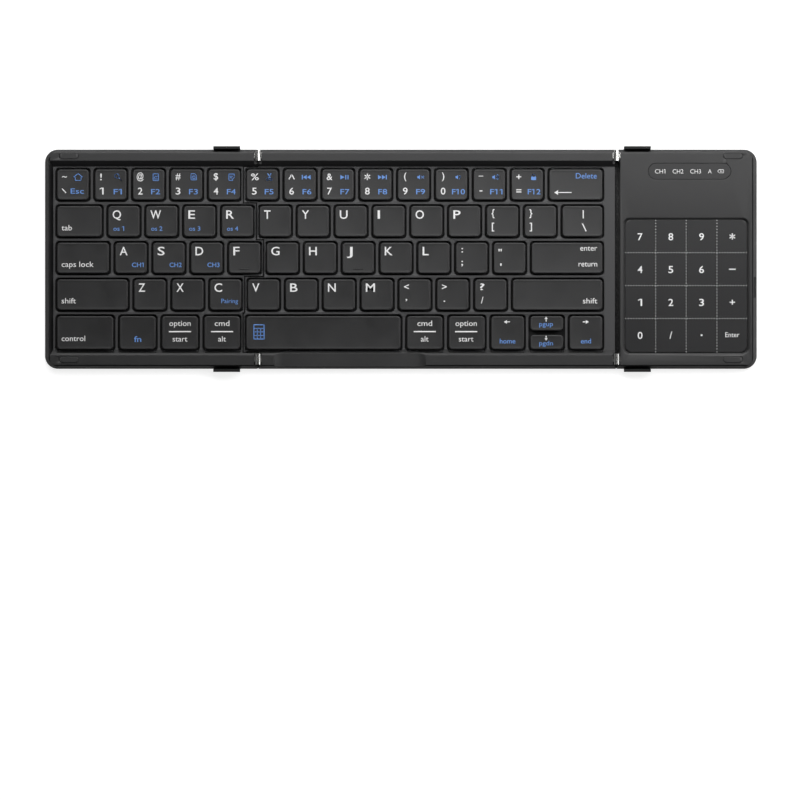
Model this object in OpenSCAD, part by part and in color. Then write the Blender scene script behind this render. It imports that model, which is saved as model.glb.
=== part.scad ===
// Folding keyboard with a touchpad wing, open and lying on its leather back.
// X runs to the right, Y to the rear, Z up; the origin is under the middle of the open keyboard.
// Places on a wing are given by u, the distance outward from that wing's hinge axis.

/* [Body] */
// Depth of the three sections, front to rear; the rows of keys share what the bars leave
body_depth = 98.6; // [90:0.1:108]
// Height of the bar tops above the resting surface
body_top = 8.0; // [7.8:0.1:9]
// Width of the rear bar
rear_bar = 5.2; // [4.6:0.1:7]
// Width of the front bar
front_bar = 6.2; // [5:0.1:7]
// Run of the sloped walls in front of the rear bar and behind the front bar
slope_run = 2.6; // [1.5:0.1:3]
// Width of the rim at the left end, outside the sloped wall
end_rim = 2.3; // [2:0.1:4]
// Run of the sloped wall at the left end
end_slope = 1.6; // [1:0.1:3]
// Flat margin between the left slope and the first opening
end_margin = 0.9; // [0.5:0.1:2]
// Flat margin of deck behind the rear row
row_margin = 0.4; // [0.2:0.1:1.6]
// Distance that the front row's openings reach into the sloped wall behind the front bar
front_reach = 0.9; // [0:0.1:1.2]
// Width of sloped wall left between the front row's relief slots and the front bar
front_lip = 0.95; // [0.6:0.05:1.5]
// Radius of the outer corners seen from above
corner_r = 5.8; // [4:0.1:8]
// Radius of the rounded upper edges
edge_r = 1.0; // [0.6:0.1:1.6]
// Distance that the upper shell stands back from the lower one at the outer ends
end_step = 1.6; // [0.8:0.1:1.6]
// Distance that the upper shells stand back from the lower ones along the front and rear
side_step = 0.9; // [0.4:0.1:1]
// Thickness of the floors of the wings
floor_t = 0.6; // [0.5:0.1:0.8]
// Width of the lower shell's wall around the outside
tray_wall = 1.6; // [1.5:0.1:1.8]
// Height of the parting line between the lower and upper shells
parting_z = 3.6; // [3.2:0.1:4.2]
// Gap between two sections where they meet
seam_gap = 0.4; // [0.3:0.05:0.5]
// Gap between facing bar tops when a wing is folded over
bar_gap = 0.3; // [0.2:0.05:0.5]
// Gap between the ends of the folded wings
fold_gap = 2.0; // [1:0.1:6]

/* [Key field] */
// Width of the opening for a letter key
key_w = 15.8; // [15.4:0.1:16.4]
// Depth by which the front row's openings exceed those of the other rows
front_row_more = 1.2; // [0:0.1:1.5]
// Bar of deck between two openings, left to right
web_x = 1.2; // [1.15:0.05:1.6]
// Bar of deck between two rows
web_y = 1.1; // [1.1:0.05:1.4]
// Width of the tab key's opening
tab_w = 21.7; // [21:0.1:22.5]
// Width of the caps lock opening
caps_w = 24.9; // [24:0.1:25]
// Width of the left shift opening
shift_w = 33.4; // [33:0.1:35]
// Width of the control opening
control_w = 26.9; // [26.7:0.1:28]
// Width of the fn opening
fn_w = 17.8; // [17.6:0.1:18.5]
// Width of the option openings
option_w = 17.8; // [17.6:0.1:18.5]
// Width of the command openings
command_w = 17.6; // [17.5:0.1:18.5]
// Width of an arrow opening
arrow_w = 16.4; // [15:0.1:18]
// Gap between the up and down caps, which share one opening
arrow_gap = 1.8; // [1:0.1:2.4]
// Width of the backspace opening
backspace_w = 25.5; // [22:0.1:30]
// Gap around a key cap in its opening
key_play = 0.75; // [0.3:0.05:0.9]
// Corner radius of a key cap seen from above
cap_r = 1.7; // [1:0.1:2.5]
// Radius of a key cap's upper edges
cap_edge_r = 0.5; // [0.2:0.1:0.7]
// Thickness of a key cap's top
cap_roof = 0.9; // [0.7:0.1:1.1]
// Thickness of a key cap's sides
cap_wall = 0.9; // [0.7:0.1:1.2]
// Distance from the bar tops down to the key tops
cap_drop = 0.7; // [0.5:0.1:1.0]
// Distance from the bar tops down to the deck
deck_drop = 2.5; // [2.3:0.1:2.7]
// Thickness of the deck
deck_t = 0.7; // [0.6:0.1:0.9]
// Distance that a cap's sides reach below the top of the deck
cap_tuck = 0.5; // [0.3:0.1:0.6]
// Radius of a rubber dome at its foot
dome_r = 2.6; // [2:0.1:3.2]
// Radius of a rubber dome at its top
dome_top_r = 1.5; // [1:0.1:1.9]

/* [Under the keys] */
// Thickness of the steel plate
plate_t = 0.3; // [0.2:0.05:0.4]
// Thickness of the contact film
film_t = 0.2; // [0.15:0.05:0.3]

/* [Hinges] */
// Distance of the left hinge axis to the right of the seam beside the fourth number key
left_axis_shift = 6.6; // [6.2:0.1:6.8]
// Distance from the last opening to the right hinge axis
right_axis_margin = 5.5; // [5:0.1:8]
// Radius of the hinge barrels
barrel_r = 1.25; // [1.1:0.05:1.4]
// Length of a hinge barrel
barrel_l = 4.9; // [4.4:0.1:5.1]
// Distance of the rear barrels' centres inside the rear face
rear_barrel_in = 2.75; // [2.7:0.05:3.2]
// Distance of the front barrels' centres inside the front face
front_barrel_in = 4.35; // [3.5:0.05:4.5]
// Radius of the hinge pins
pin_r = 0.5; // [0.4:0.05:0.6]
// Radial running clearance of the hinge pins
pin_play = 0.05; // [0.02:0.01:0.08]
// Half width of the notch in the bars around a barrel
barrel_notch = 1.7; // [1.65:0.05:2.2]
// Gap between two knuckles of a barrel
knuckle_gap = 0.1; // [0.05:0.05:0.2]
// Width of a hinge leaf
leaf_w = 2.6; // [2.4:0.1:3]
// Length of a hinge leaf from the axis
leaf_l = 7.0; // [6:0.5:8]
// Thickness of a hinge leaf
leaf_t = 0.6; // [0.4:0.1:0.8]

/* [Leather back] */
// Thickness of the leather
leather_t = 0.6; // [0.4:0.1:0.8]
// Thickness of the boards inside the leather
board_t = 0.6; // [0.5:0.1:0.7]
// Gap between the boards and the wings that slide over them
slide_gap = 0.2; // [0.15:0.05:0.3]
// Distance of the leather's edge inside the front and rear faces
leather_inset = 0.3; // [0.1:0.1:0.8]
// Length of a spine plate across the spine
spine_l = 12.0; // [11.6:0.1:12.4]
// Start of the left spine plate, out from the left axis
left_spine_u = 8.05; // [7.9:0.05:8.4]
// Start of the right spine plate, out from the right axis
right_spine_u = 3.45; // [3.2:0.05:4]
// Reach of the left spine beyond the axis when folded
left_spine_reach = 8.05; // [8.0:0.05:8.6]
// Reach of the right spine beyond the axis when folded
right_spine_reach = 3.5; // [3.4:0.05:4.2]
// Length of leather past the far edge of a spine plate
spine_lap = 1.4; // [1:0.1:1.5]
// Length of leather before the near edge of a spine plate
spine_lead = 0.9; // [0.5:0.1:1]
// Thickness of a spine plate's end ears
ear_t = 1.3; // [0.8:0.1:1.6]
// Gap between the ears and the bars
ear_gap = 0.1; // [0.1:0.05:0.3]
// Gap between the spine's leather and the cover's when open
cover_gap = 0.1; // [0.05:0.05:0.3]
// Width of the limp strip of the left cover
left_limp_w = 20.7; // [16:0.1:24]
// Width of the limp strip of the right cover
right_limp_w = 10.9; // [8:0.1:14]
// Distance that a cover stops short of the wing's end
cover_margin = 0.4; // [0.3:0.1:2]

/* [Thumb dip] */
// Depth of the dip in the front bar
dip_depth = 0.9; // [0.6:0.1:1]
// Start of the dip, right of the left axis
dip_start = 6.9; // [5:0.1:12]
// Length of the dip
dip_l = 68.6; // [50:0.5:80]
// Length of the dip's ramps
dip_ramp = 4.4; // [2:0.1:6]

/* [Touchpad wing] */
// Thickness of the wing's inner wall beside the right axis
inner_wall = 1.2; // [0.8:0.1:1.4]
// Thickness of the wing's side wall
side_wall = 2.0; // [1.5:0.1:2.4]
// Width of the solid bars along the wing's front and rear
right_bar_w = 5.4; // [5:0.1:6]
// Thickness of the wing's roof
roof_t = 1.6; // [1.5:0.1:1.8]
// Gap from the right axis to the wing's inner wall between the bars
right_wing_back = 1.6; // [1.2:0.1:2]
// Gap from the centre section's end to the right axis between the bars
centre_back = 0.6; // [0.4:0.1:1]
// Start of the touchpad, out from the right axis
pad_u = 3.65; // [3.4:0.05:5]
// Distance of the touchpad from the wing's end
pad_end = 4.4; // [4.2:0.1:8]
// Distance of the touchpad's front edge from the front face
pad_front = 7.15; // [6.8:0.05:12]
// Depth of the touchpad
pad_d = 59.95; // [50:0.05:60.5]
// Thickness of the touchpad
pad_t = 0.7; // [0.5:0.1:0.8]
// Distance of the touchpad below the wing's top
pad_sink = 0.5; // [0.3:0.05:0.6]
// Width of the sloped rim around the touchpad
pad_rim = 0.85; // [0.4:0.05:0.9]
// Distance of the window below the wing's top
window_sink = 0.1; // [0.05:0.05:0.2]
// Clearance around the touchpad and window
trim_gap = 0.1; // [0.05:0.05:0.2]
// Corner radius of the touchpad
pad_r = 2.3; // [1:0.1:4]
// Width of the ledge that carries the touchpad
pad_ledge = 2.0; // [1.5:0.1:3]
// Length of the indicator window
window_l = 37.0; // [30:0.5:40]
// Depth of the indicator window
window_d = 7.1; // [5:0.1:8]
// Start of the indicator window, out from the right axis
window_u = 14.3; // [10:0.1:15]
// Distance of the window's centre from the rear face
window_rear = 9.9; // [9:0.1:11]
// Thickness of the indicator window
window_t = 0.7; // [0.5:0.1:0.9]

/* [Electronics] */
// Thickness of the circuit board
pcb_t = 0.8; // [0.6:0.1:1]
// Length of the battery, left to right
battery_l = 44; // [30:1:46]
// Depth of the battery
battery_d = 34; // [20:1:40]
// Thickness of the battery
battery_t = 2.4; // [1.8:0.1:2.5]
// Depth of the charging socket's front along the side
usb_w = 9.0; // [8.8:0.1:9.4]
// Height of the charging socket's front
usb_h = 3.2; // [3.1:0.05:3.3]
// Length of the charging socket into the wing
usb_l = 7.3; // [6.5:0.1:8]
// Thickness of the charging socket's metal
usb_wall = 0.3; // [0.2:0.05:0.4]
// Distance of the charging socket's centre from the rear face
usb_rear = 62; // [55:1:66]
// Distance of the switch's centre from the rear face
switch_rear = 25.5; // [22:0.5:30]
// Length of the finger scoop beside the switch
scoop_l = 14.8; // [10:0.1:18]
// Height of the finger scoop
scoop_h = 2.2; // [1.8:0.1:2.4]
// Depth of the finger scoop
scoop_depth = 0.8; // [0.4:0.1:1]
// Length of the switch nub
nub_l = 2.2; // [1.8:0.1:3]
// Height of the switch nub
nub_h = 1.2; // [0.8:0.1:1.4]
// Travel of the switch
switch_travel = 2.0; // [1.5:0.1:2.5]

/* [Bumpers and magnets] */
// Length of a rubber bumper
bumper_l = 8.6; // [6:0.1:12]
// Width of a rubber bumper
bumper_w = 2.5; // [2:0.1:3]
// Height of a rubber bumper above the bar
bumper_proud = 0.22; // [0.1:0.01:0.25]
// Depth of the pocket that holds a bumper
bumper_seat = 0.7; // [0.4:0.1:1]
// Distance of a bumper's centre from the wing's end
bumper_end = 10.9; // [9:0.1:14]
// Length of a magnet
magnet_l = 8.0; // [5:0.5:9]
// Width of a magnet
magnet_w = 2.4; // [2:0.1:3]
// Thickness of a magnet
magnet_t = 1.6; // [1:0.1:2]
// Distance of the outer magnet's centre from the wing's end
magnet_end = 22; // [20:0.5:24]
// Distance between the two magnets in a bar
magnet_pitch = 20; // [12:1:24]

// Distance of the rear bumpers' centres inside the rear face
bumper_rear = 3.1; // [2.9:0.1:3.6]
// Distance of the front bumpers' centres inside the front face
bumper_front = 4.1; // [3.6:0.1:4.5]
// Thickness of the bar above a magnet
magnet_cover = 0.8; // [0.6:0.1:1.2]

/* [Hidden] */

$fn = 48;

// Colours
abs_grey = "#464646";
key_grey = "#3d3d3d";
under_grey = "#2a2a2a";
leather_black = "#222222";
steel = "#c9cbce";

// Heights
shell_z = leather_t + board_t + slide_gap;
floor_z = shell_z + floor_t;
plate_z = floor_z + plate_t;
film_z = plate_z + film_t;
deck_z = body_top - deck_drop;
deck_low = deck_z - deck_t;
cap_z = body_top - cap_drop;
cap_low = deck_z - cap_tuck;
axis_z = body_top + bar_gap / 2;
roof_z = body_top - roof_t;

// The five rows of openings, from the rear
half_depth = body_depth / 2;
bar_front_y = -half_depth + front_bar;
deck_y1 = half_depth - rear_bar - slope_run;
deck_y0 = bar_front_y + slope_run;
field_y1 = deck_y1 - row_margin;
field_y0 = deck_y0 - front_reach;
key_d = (field_y1 - field_y0 - 4 * web_y - front_row_more) / 5;
front_row_d = key_d + front_row_more;
pitch_x = key_w + web_x;
pitch_y = key_d + web_y;
field_w = 13 * pitch_x + backspace_w;
function row_y(i) = field_y1 - i * pitch_y;
function row_d(i) = i < 4 ? key_d : front_row_d;
function total(v, n) = n <= 0 ? 0 : v[n - 1] + total(v, n - 1);
function letters(n) = [for (i = [1 : n]) key_w];
function filled(first, n) = concat([first], letters(n), [field_w - first - n * key_w - (n + 1) * web_x]);
front_row_rest = control_w + fn_w + 2 * option_w + 2 * command_w + 3 * arrow_w + 9 * web_x;
row_widths = [
  concat(letters(13), [backspace_w]),
  filled(tab_w, 12),
  filled(caps_w, 11),
  filled(shift_w, 10),
  [control_w, fn_w, option_w, command_w, field_w - front_row_rest,
   command_w, option_w, arrow_w, arrow_w, arrow_w]
];
// Keys of each row that lie on the left wing
left_keys = [5, 5, 5, 4, 4];

// Lengths of the sections, and places along X
left_len = end_rim + end_slope + end_margin + 5 * pitch_x - web_x / 2 + left_axis_shift;
centre_len = field_w - 5 * pitch_x + web_x / 2 - left_axis_shift + right_axis_margin;
right_len = centre_len - left_len - fold_gap;
overall = left_len + centre_len + right_len;
left_axis = left_len - overall / 2;
right_axis = left_axis + centre_len;
field_x0 = left_axis - left_axis_shift - 5 * pitch_x + web_x / 2;
function key_x(row, k) = field_x0 + total(row_widths[row], k) + k * web_x;
function seam_x(row) = key_x(row, left_keys[row]) - web_x / 2;

// Distance of the seam's outer steps past the rear and front rows' openings
seam_past = 0.5;
// The stepped seam between the left wing and the centre, shifted by d toward the wing
seam_xs = concat([left_axis], [for (i = [0 : 4]) seam_x(i)], [left_axis]);
seam_ys = concat([field_y1 + seam_past],
                 [for (i = [1 : 4]) row_y(i) + web_y / 2],
                 [field_y0 - seam_past]);
far = body_depth;
function seam_line(d) = concat(
  [[left_axis - d, far]],
  [for (i = [0 : 5]) each
    let (y = seam_ys[i] - d * sign(seam_xs[i + 1] - seam_xs[i]))
    [[seam_xs[i] - d, y], [seam_xs[i + 1] - d, y]]],
  [[left_axis - d, -far]]);
half_gap = seam_gap / 2;
// Thickness of the walls along the stepped seam
seam_wall = 0.35;
// Small clearance around what sits in a pocket
seat = 0.05;
// Play between the upper shells and the lower shells' walls
rabbet_play = 0.1;
// Height by which an upper shell's lower part runs on into its upper part
rabbet_lap = 0.5;
// Gap between two pieces of leather that meet
leather_gap = 0.1;
// Distance of the cover boards' edges inside the leather
board_margin = 0.4;

// Spine and cover places, all out from the axis
function pole_u(start, reach) = (reach + start + spine_l / 2 - axis_z) / 2;
function pole_z(start, reach) = (reach - start - spine_l / 2 + axis_z) / 2;
function cover_u(start) = start + spine_l + spine_lap + cover_gap;
function cover_slide(start, reach) = cover_u(start) + reach;
echo(left_axis = left_axis, right_axis = right_axis, axis_z = axis_z, overall = overall);
echo(left_pole = [left_axis - pole_u(left_spine_u, left_spine_reach),
                  pole_z(left_spine_u, left_spine_reach)],
     right_pole = [right_axis + pole_u(right_spine_u, right_spine_reach),
                   pole_z(right_spine_u, right_spine_reach)]);
echo(left_slide = cover_slide(left_spine_u, left_spine_reach),
     right_slide = cover_slide(right_spine_u, right_spine_reach));
echo(field_x0 = field_x0, field_y1 = field_y1, field_y0 = field_y0, bar_front_y = bar_front_y);

leather_half = half_depth - leather_inset;
rear_bar_y = half_depth - rear_barrel_in;
front_bar_y = -half_depth + front_barrel_in;
crown_half = half_depth - side_step;

// Wing coordinates: u outward along +X of the children
module on_left() translate([left_axis, 0, 0]) mirror([1, 0, 0]) children();
module on_right() translate([right_axis, 0, 0]) children();

// Rectangle with rounded corners, centred
module round_rect(w, d, r) {
  square([w, d - 2 * r], center = true);
  square([w - 2 * r, d], center = true);
  for (sx = [-1, 1], sy = [-1, 1])
    translate([sx * (w / 2 - r), sy * (d / 2 - r)]) circle(r);
}

// Outline of a wing, rounded at its outer end, reaching back past the axis
module wing_outline(u1, half, r) {
  translate([-half, -half]) square([u1 - r + half, 2 * half]);
  translate([u1 - 2 * r, -half + r]) square([2 * r, 2 * (half - r)]);
  for (s = [-1, 1])
    translate([u1 - r, s * (half - r)]) circle(r);
}

module wing_slab(u1, half, r, z0, z1)
  translate([0, 0, z0]) linear_extrude(z1 - z0) wing_outline(u1, half, r);

// Upper part of a wing, with rounded upper edges along its straight sides
module wing_crown(u1, z0, z1) intersection() {
  wing_slab(u1, crown_half, corner_r - side_step, z0, z1);
  translate([-half_depth, 0, 0]) rotate([90, 0, 90]) linear_extrude(half_depth + u1)
    edged_profile(-crown_half, crown_half, z0, z1);
  translate([0, half_depth, 0]) rotate([90, 0, 0]) linear_extrude(body_depth)
    edged_profile(-2 * u1, u1, z0, z1);
}

// Side view of a shell from a to b, with its upper edges rounded
module edged_profile(a, b, z0, z1) {
  translate([a, z0]) square([b - a, z1 - edge_r - z0]);
  translate([a + edge_r, z0]) square([b - a - 2 * edge_r, z1 - z0]);
  for (x = [a + edge_r, b - edge_r]) translate([x, z1 - edge_r]) circle(edge_r);
}

// Everything on the wing's side of the stepped seam
module wing_side(d) translate([0, 0, -1]) linear_extrude(body_top + 2)
  polygon(concat([[-overall, far]], seam_line(d), [[-overall, -far]]));

// Everything on the centre's side of the stepped seam, up to x1 between the bars
module centre_side(d) translate([0, 0, -1]) linear_extrude(body_top + 2)
  polygon(concat(seam_line(-d), [[overall, -far], [overall, far]]));

// Section through the recess, front to rear, run along X
module recess_y(x0, x1) {
  top = body_top + 1;
  reach = slope_run + slope_run / deck_drop;
  translate([x0, 0, 0]) rotate([90, 0, 90]) linear_extrude(x1 - x0)
    polygon([[deck_y0, deck_z], [deck_y1, deck_z], [deck_y1 + reach, top], [deck_y0 - reach, top]]);
}

// Section through the recess, left to right, run along Y
module recess_x(x1) {
  x0 = -overall / 2 + end_rim + end_slope;
  top = body_top + 1;
  grow = end_slope / deck_drop;
  translate([0, far, 0]) rotate([90, 0, 0]) linear_extrude(2 * far)
    polygon([[x0, deck_z], [x1, deck_z], [x1, top], [x0 - end_slope - grow, top]]);
}

// Amount by which an opening's corner radius exceeds the cap's
corner_more = 0.2;

// One opening in the deck, by row and key
module opening(row, k) {
  w = row_widths[row][k];
  d = row_d(row);
  translate([key_x(row, k) + w / 2, row_y(row) - d / 2, deck_low - 1])
    linear_extrude(deck_t + 2) round_rect(w, d, cap_r + corner_more);
}

// Openings of one section: keys from first(row) to before last(row)
module openings(firsts, lasts)
  for (row = [0 : 4], k = [firsts[row] : lasts[row] - 1]) opening(row, k);

// Distance of a relief slot's ends inside its opening's sides, its corner radius, and its overlap
// with the opening
relief_in = 0.7;
relief_r = 0.5;
relief_lap = 0.5;
dip_x0 = left_axis + dip_start;
dip_x1 = dip_x0 + dip_l;

// Slots in the sloped wall in front of the front row's caps, except beside the thumb dip
module relief_slots() difference() {
  y0 = bar_front_y + front_lip;
  d = field_y0 - y0 + relief_lap;
  for (k = [0 : 9])
    let (w = row_widths[4][k])
      translate([key_x(4, k) + w / 2, y0 + d / 2, deck_low - 1])
        linear_extrude(deck_drop + deck_t + 2) round_rect(w - 2 * relief_in, d, relief_r);
  translate([0, 0, deck_low - 2]) linear_extrude(deck_drop + deck_t + 4)
    polygon([[dip_x0, y0], [dip_x0 + dip_ramp, field_y0 - seat], [dip_x1 - dip_ramp, field_y0 - seat],
             [dip_x1, y0], [dip_x1, y0 - 2], [dip_x0, y0 - 2]]);
}

// Key cap in an opening w by d centred at x, y
module cap(x, y, w, d) {
  cw = w - 2 * key_play;
  cd = d - 2 * key_play;
  h = cap_z - cap_low;
  translate([x, y, cap_low]) {
    difference() {
      intersection() {
        linear_extrude(h) round_rect(cw, cd, cap_r);
        rotate([90, 0, 0]) translate([0, 0, -cd]) linear_extrude(2 * cd) cap_profile(cw, h);
        rotate([90, 0, 90]) translate([0, 0, -cw]) linear_extrude(2 * cw) cap_profile(cd, h);
      }
      translate([0, 0, -1]) linear_extrude(h - cap_roof + 1)
        square([cw - 2 * cap_wall, cd - 2 * cap_wall], center = true);
    }
    cylinder(r = dome_top_r, h = h - cap_roof / 2);
  }
}

// Side view of a cap, with rounded upper edges
module cap_profile(w, h) {
  translate([-w / 2, 0]) square([w, h - cap_edge_r]);
  translate([-w / 2 + cap_edge_r, 0]) square([w - 2 * cap_edge_r, h]);
  for (s = [-1, 1])
    translate([s * (w / 2 - cap_edge_r), h - cap_edge_r]) circle(cap_edge_r);
}

// Caps of a row, from key k0 to k1
module caps(row, k0, k1)
  color(key_grey)
    for (k = [k0 : k1])
      let (w = row_widths[row][k], d = row_d(row))
        cap(key_x(row, k) + w / 2, row_y(row) - d / 2, w, d);

// Depth and place of the half-height caps, i from the rear
arrow_d = (front_row_d - 2 * key_play - arrow_gap) / 2;
function arrow_y(i) = row_y(4) - key_play - arrow_d / 2 - i * (arrow_d + arrow_gap);
module arrow_cap(i)
  color(key_grey) cap(key_x(4, 8) + arrow_w / 2, arrow_y(i), arrow_w, arrow_d + 2 * key_play);

// Rubber dome at x, y
module dome(x, y)
  translate([x, y, film_z])
    cylinder(r1 = dome_r, r2 = dome_top_r - 0.1, h = cap_low - film_z);

module domes(firsts, lasts)
  for (row = [0 : 4], k = [firsts[row] : lasts[row] - 1])
    let (x = key_x(row, k) + row_widths[row][k] / 2)
      if (row == 4 && k == 8)
        for (i = [0, 1]) dome(x, arrow_y(i));
      else dome(x, row_y(row) - row_d(row) / 2);

row_ends = [14, 14, 13, 12, 10];
row_starts = [0, 0, 0, 0, 0];

// Hollow under the deck, between the bars
module field_box(x0, x1, z0, z1, inset = 0)
  translate([x0, field_y0 + inset, z0]) cube([x1 - x0, field_y1 - field_y0 - 2 * inset, z1 - z0]);

// Hollow's margin past the last opening
hollow_margin = 1.0;
left_in_x = -overall / 2 + end_rim + end_slope;
centre_in_x = field_x0 + field_w + hollow_margin;

module left_hollow(z0, z1, inset = 0) intersection() {
  field_box(left_in_x + inset, left_axis + far / 4, z0, z1, inset);
  wing_side(half_gap + seam_wall + inset);
}

module centre_hollow(z0, z1, inset = 0) intersection() {
  field_box(left_axis - far / 4, centre_in_x - inset, z0, z1, inset);
  centre_side(half_gap + seam_wall + inset);
}

// Clearance below a barrel in its notch
notch_under = 0.3;
// Clearance between a barrel and the other section's leaf
knuckle_clear = 0.15;

// Notch in the bars around the barrels, at an axis
module barrel_notches()
  for (y = [rear_bar_y, front_bar_y])
    translate([-barrel_notch, y - front_bar, axis_z - barrel_r - notch_under])
      cube([2 * barrel_notch, 2 * front_bar, body_top]);

leaf_z = axis_z - barrel_r;

// Pockets in the bars for the hinge leaves
module leaf_pockets()
  for (y = [rear_bar_y, front_bar_y])
    translate([0, y - leaf_w / 2 - seat, leaf_z - seat])
      cube([leaf_l + seat, leaf_w + 2 * seat, leaf_t + 2 * seat]);

// One hinge leaf with its knuckles: the middle one, or the outer two
module hinge_leaf(y, middle, play) {
  k = (barrel_l - 2 * knuckle_gap) / 3;
  places = middle ? [0] : [-1, 1];
  root = barrel_r + knuckle_clear;
  translate([0, y, 0]) difference() {
    union() {
      for (i = places)
        translate([0, i * (k + knuckle_gap) + k / 2, axis_z])
          rotate([90, 0, 0]) cylinder(r = barrel_r, h = k);
      translate([root, -leaf_w / 2, leaf_z]) cube([leaf_l - root, leaf_w, leaf_t]);
      for (i = places)
        let (w = middle ? k : (leaf_w - k) / 2 - knuckle_gap, y0 = middle ? 0 : i * (leaf_w - w) / 2)
          translate([0, y0 - w / 2, leaf_z]) cube([2 * barrel_r, w, leaf_t]);
    }
    translate([0, barrel_l, axis_z]) rotate([90, 0, 0]) cylinder(r = pin_r + play, h = 2 * barrel_l);
  }
}

// Pill-shaped prism centred at the origin, along X
module pill(l, w, h) linear_extrude(h) {
  square([l - w, w], center = true);
  for (s = [-1, 1]) translate([s * (l - w) / 2, 0]) circle(w / 2);
}

module bumper_places(len)
  for (y = [half_depth - bumper_rear, -half_depth + bumper_front])
    translate([len - bumper_end, y, body_top - bumper_seat]) children();

// Two places in the rear bar, the outer one at a distance from the axis
module magnet_places(outer, side)
  for (u = [outer, outer - magnet_pitch])
    translate([side * u - magnet_l / 2, rear_bar_y - magnet_w / 2, body_top - magnet_cover - magnet_t])
      children();

module magnet_hole() translate([-seat, -seat, -seat])
  cube([magnet_l + 2 * seat, magnet_w + 2 * seat, magnet_t + 2 * seat]);

module left_top_shell() color(abs_grey) difference() {
  intersection() {
    union() {
      on_left() wing_crown(left_len - end_step, parting_z, body_top);
      on_left() wing_slab(left_len - tray_wall - rabbet_play, half_depth - tray_wall - rabbet_play,
                          corner_r - tray_wall, floor_z, parting_z + rabbet_lap);
    }
    wing_side(half_gap);
  }
  left_hollow(floor_z - 1, deck_low);
  intersection() {
    recess_y(-overall, 0);
    recess_x(0);
  }
  openings(row_starts, left_keys);
  relief_slots();
  on_left() barrel_notches();
  on_left() leaf_pockets();
  on_left() bumper_places(left_len) pill(bumper_l + 2 * seat, bumper_w + 2 * seat, 2);
  on_left() magnet_places(left_len - magnet_end, 1) magnet_hole();
}

// Centre section's outline between two heights
module centre_block(z0, z1, inset) {
  x0 = left_axis - far / 4;
  translate([x0, -half_depth + inset, z0])
    cube([right_axis - half_gap - x0, body_depth - 2 * inset, z1 - z0]);
}

module centre_crown(z0, z1)
  let (x0 = left_axis - far / 4)
    translate([x0, 0, 0]) rotate([90, 0, 90]) linear_extrude(right_axis - half_gap - x0)
      edged_profile(-crown_half, crown_half, z0, z1);

// Room between the bars at the right axis, on the centre's side
module centre_end_cut(z0, z1)
  translate([right_axis - centre_back, bar_front_y, z0])
    cube([centre_back + 1, half_depth - rear_bar - bar_front_y, z1 - z0]);

// Shallow dip for the thumbs, with hollowed ends
module thumb_dip() {
  low = body_top - dip_depth;
  r = (pow(dip_ramp, 2) + pow(dip_depth, 2)) / (2 * dip_depth);
  translate([dip_x0 + dip_ramp, -2 * half_depth, low])
    cube([dip_l - 2 * dip_ramp, 2 * half_depth + deck_y0, dip_depth + 1]);
  intersection() {
    for (x = [dip_x0 + dip_ramp, dip_x1 - dip_ramp])
      translate([x, deck_y0, low + r]) rotate([90, 0, 0]) cylinder(r = r, h = half_depth);
    translate([dip_x0, -2 * half_depth, low]) cube([dip_l, 2 * half_depth + deck_y0, dip_depth + 1]);
  }
}

module centre_top_shell() color(abs_grey) difference() {
  intersection() {
    union() {
      centre_crown(parting_z, body_top);
      centre_block(floor_z, parting_z + rabbet_lap, tray_wall + rabbet_play);
    }
    centre_side(half_gap);
  }
  centre_hollow(floor_z - 1, deck_low);
  recess_y(left_axis - far / 4, right_axis + 1);
  centre_end_cut(0, body_top + 1);
  openings(left_keys, row_ends);
  relief_slots();
  on_left() mirror([1, 0, 0]) leaf_pockets();
  on_left() barrel_notches();
  on_right() mirror([1, 0, 0]) leaf_pockets();
  on_right() barrel_notches();
  thumb_dip();
  on_left() magnet_places(left_len - magnet_end, -1) magnet_hole();
  on_right() magnet_places(right_len - magnet_end, -1) magnet_hole();
}

pad_u1 = right_len - pad_end;
pad_y0 = -half_depth + pad_front;
pad_mid = [(pad_u + pad_u1) / 2, pad_y0 + pad_d / 2];
pad_w = pad_u1 - pad_u;
window_mid = [window_u + window_l / 2, half_depth - window_rear];
// Radius of the inner corners of the wing's cut-out beside the right axis
cut_r = 1.5;
right_in_u = right_wing_back + inner_wall;
right_end_in = right_len - end_step - side_wall;
right_half_in = half_depth - right_bar_w;
wall_out = right_len - end_step;
board_z = roof_z - pcb_t;
usb_y = half_depth - usb_rear;
switch_y = half_depth - switch_rear;
// Distance of the finger scoop's lower edge below the parting line
scoop_under = 0.1;
switch_z = parting_z - scoop_under + scoop_h / 2;
usb_back = 0.8;

// Room between the bars at the right axis, on the wing's side
module right_end_cut(z0, z1)
  translate([-2, (bar_front_y + half_depth - rear_bar) / 2, z0]) linear_extrude(z1 - z0)
    round_rect(2 * (right_wing_back + 2), half_depth - rear_bar - bar_front_y, cut_r);

// Room for the touchpad, with sloped rims that widen toward the top
module pad_room() {
  r = pad_r + trim_gap;
  w = pad_w / 2 + trim_gap;
  d = pad_d / 2 + trim_gap;
  more = 2 * pad_rim;
  h = 2 * pad_sink;
  low = body_top - pad_sink;
  translate([pad_mid[0], pad_mid[1], low - pad_t]) linear_extrude(2) round_rect(2 * w, 2 * d, r);
  translate([pad_mid[0], pad_mid[1], low]) {
    for (sx = [-1, 1], sy = [-1, 1])
      translate([sx * (w - r), sy * (d - r), 0]) cylinder(r1 = r, r2 = r + more, h = h);
    translate([-w + r, 0, 0]) rotate([90, 0, 90]) linear_extrude(2 * (w - r))
      polygon([[-d, 0], [d, 0], [d + more, h], [-d - more, h]]);
    translate([0, d - r, 0]) rotate([90, 0, 0]) linear_extrude(2 * (d - r))
      polygon([[-w, 0], [w, 0], [w + more, h], [-w - more, h]]);
  }
}

module right_hollow(z0, z1)
  translate([right_in_u, -right_half_in, z0])
    cube([right_end_in - right_in_u, 2 * right_half_in, z1 - z0]);

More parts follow.
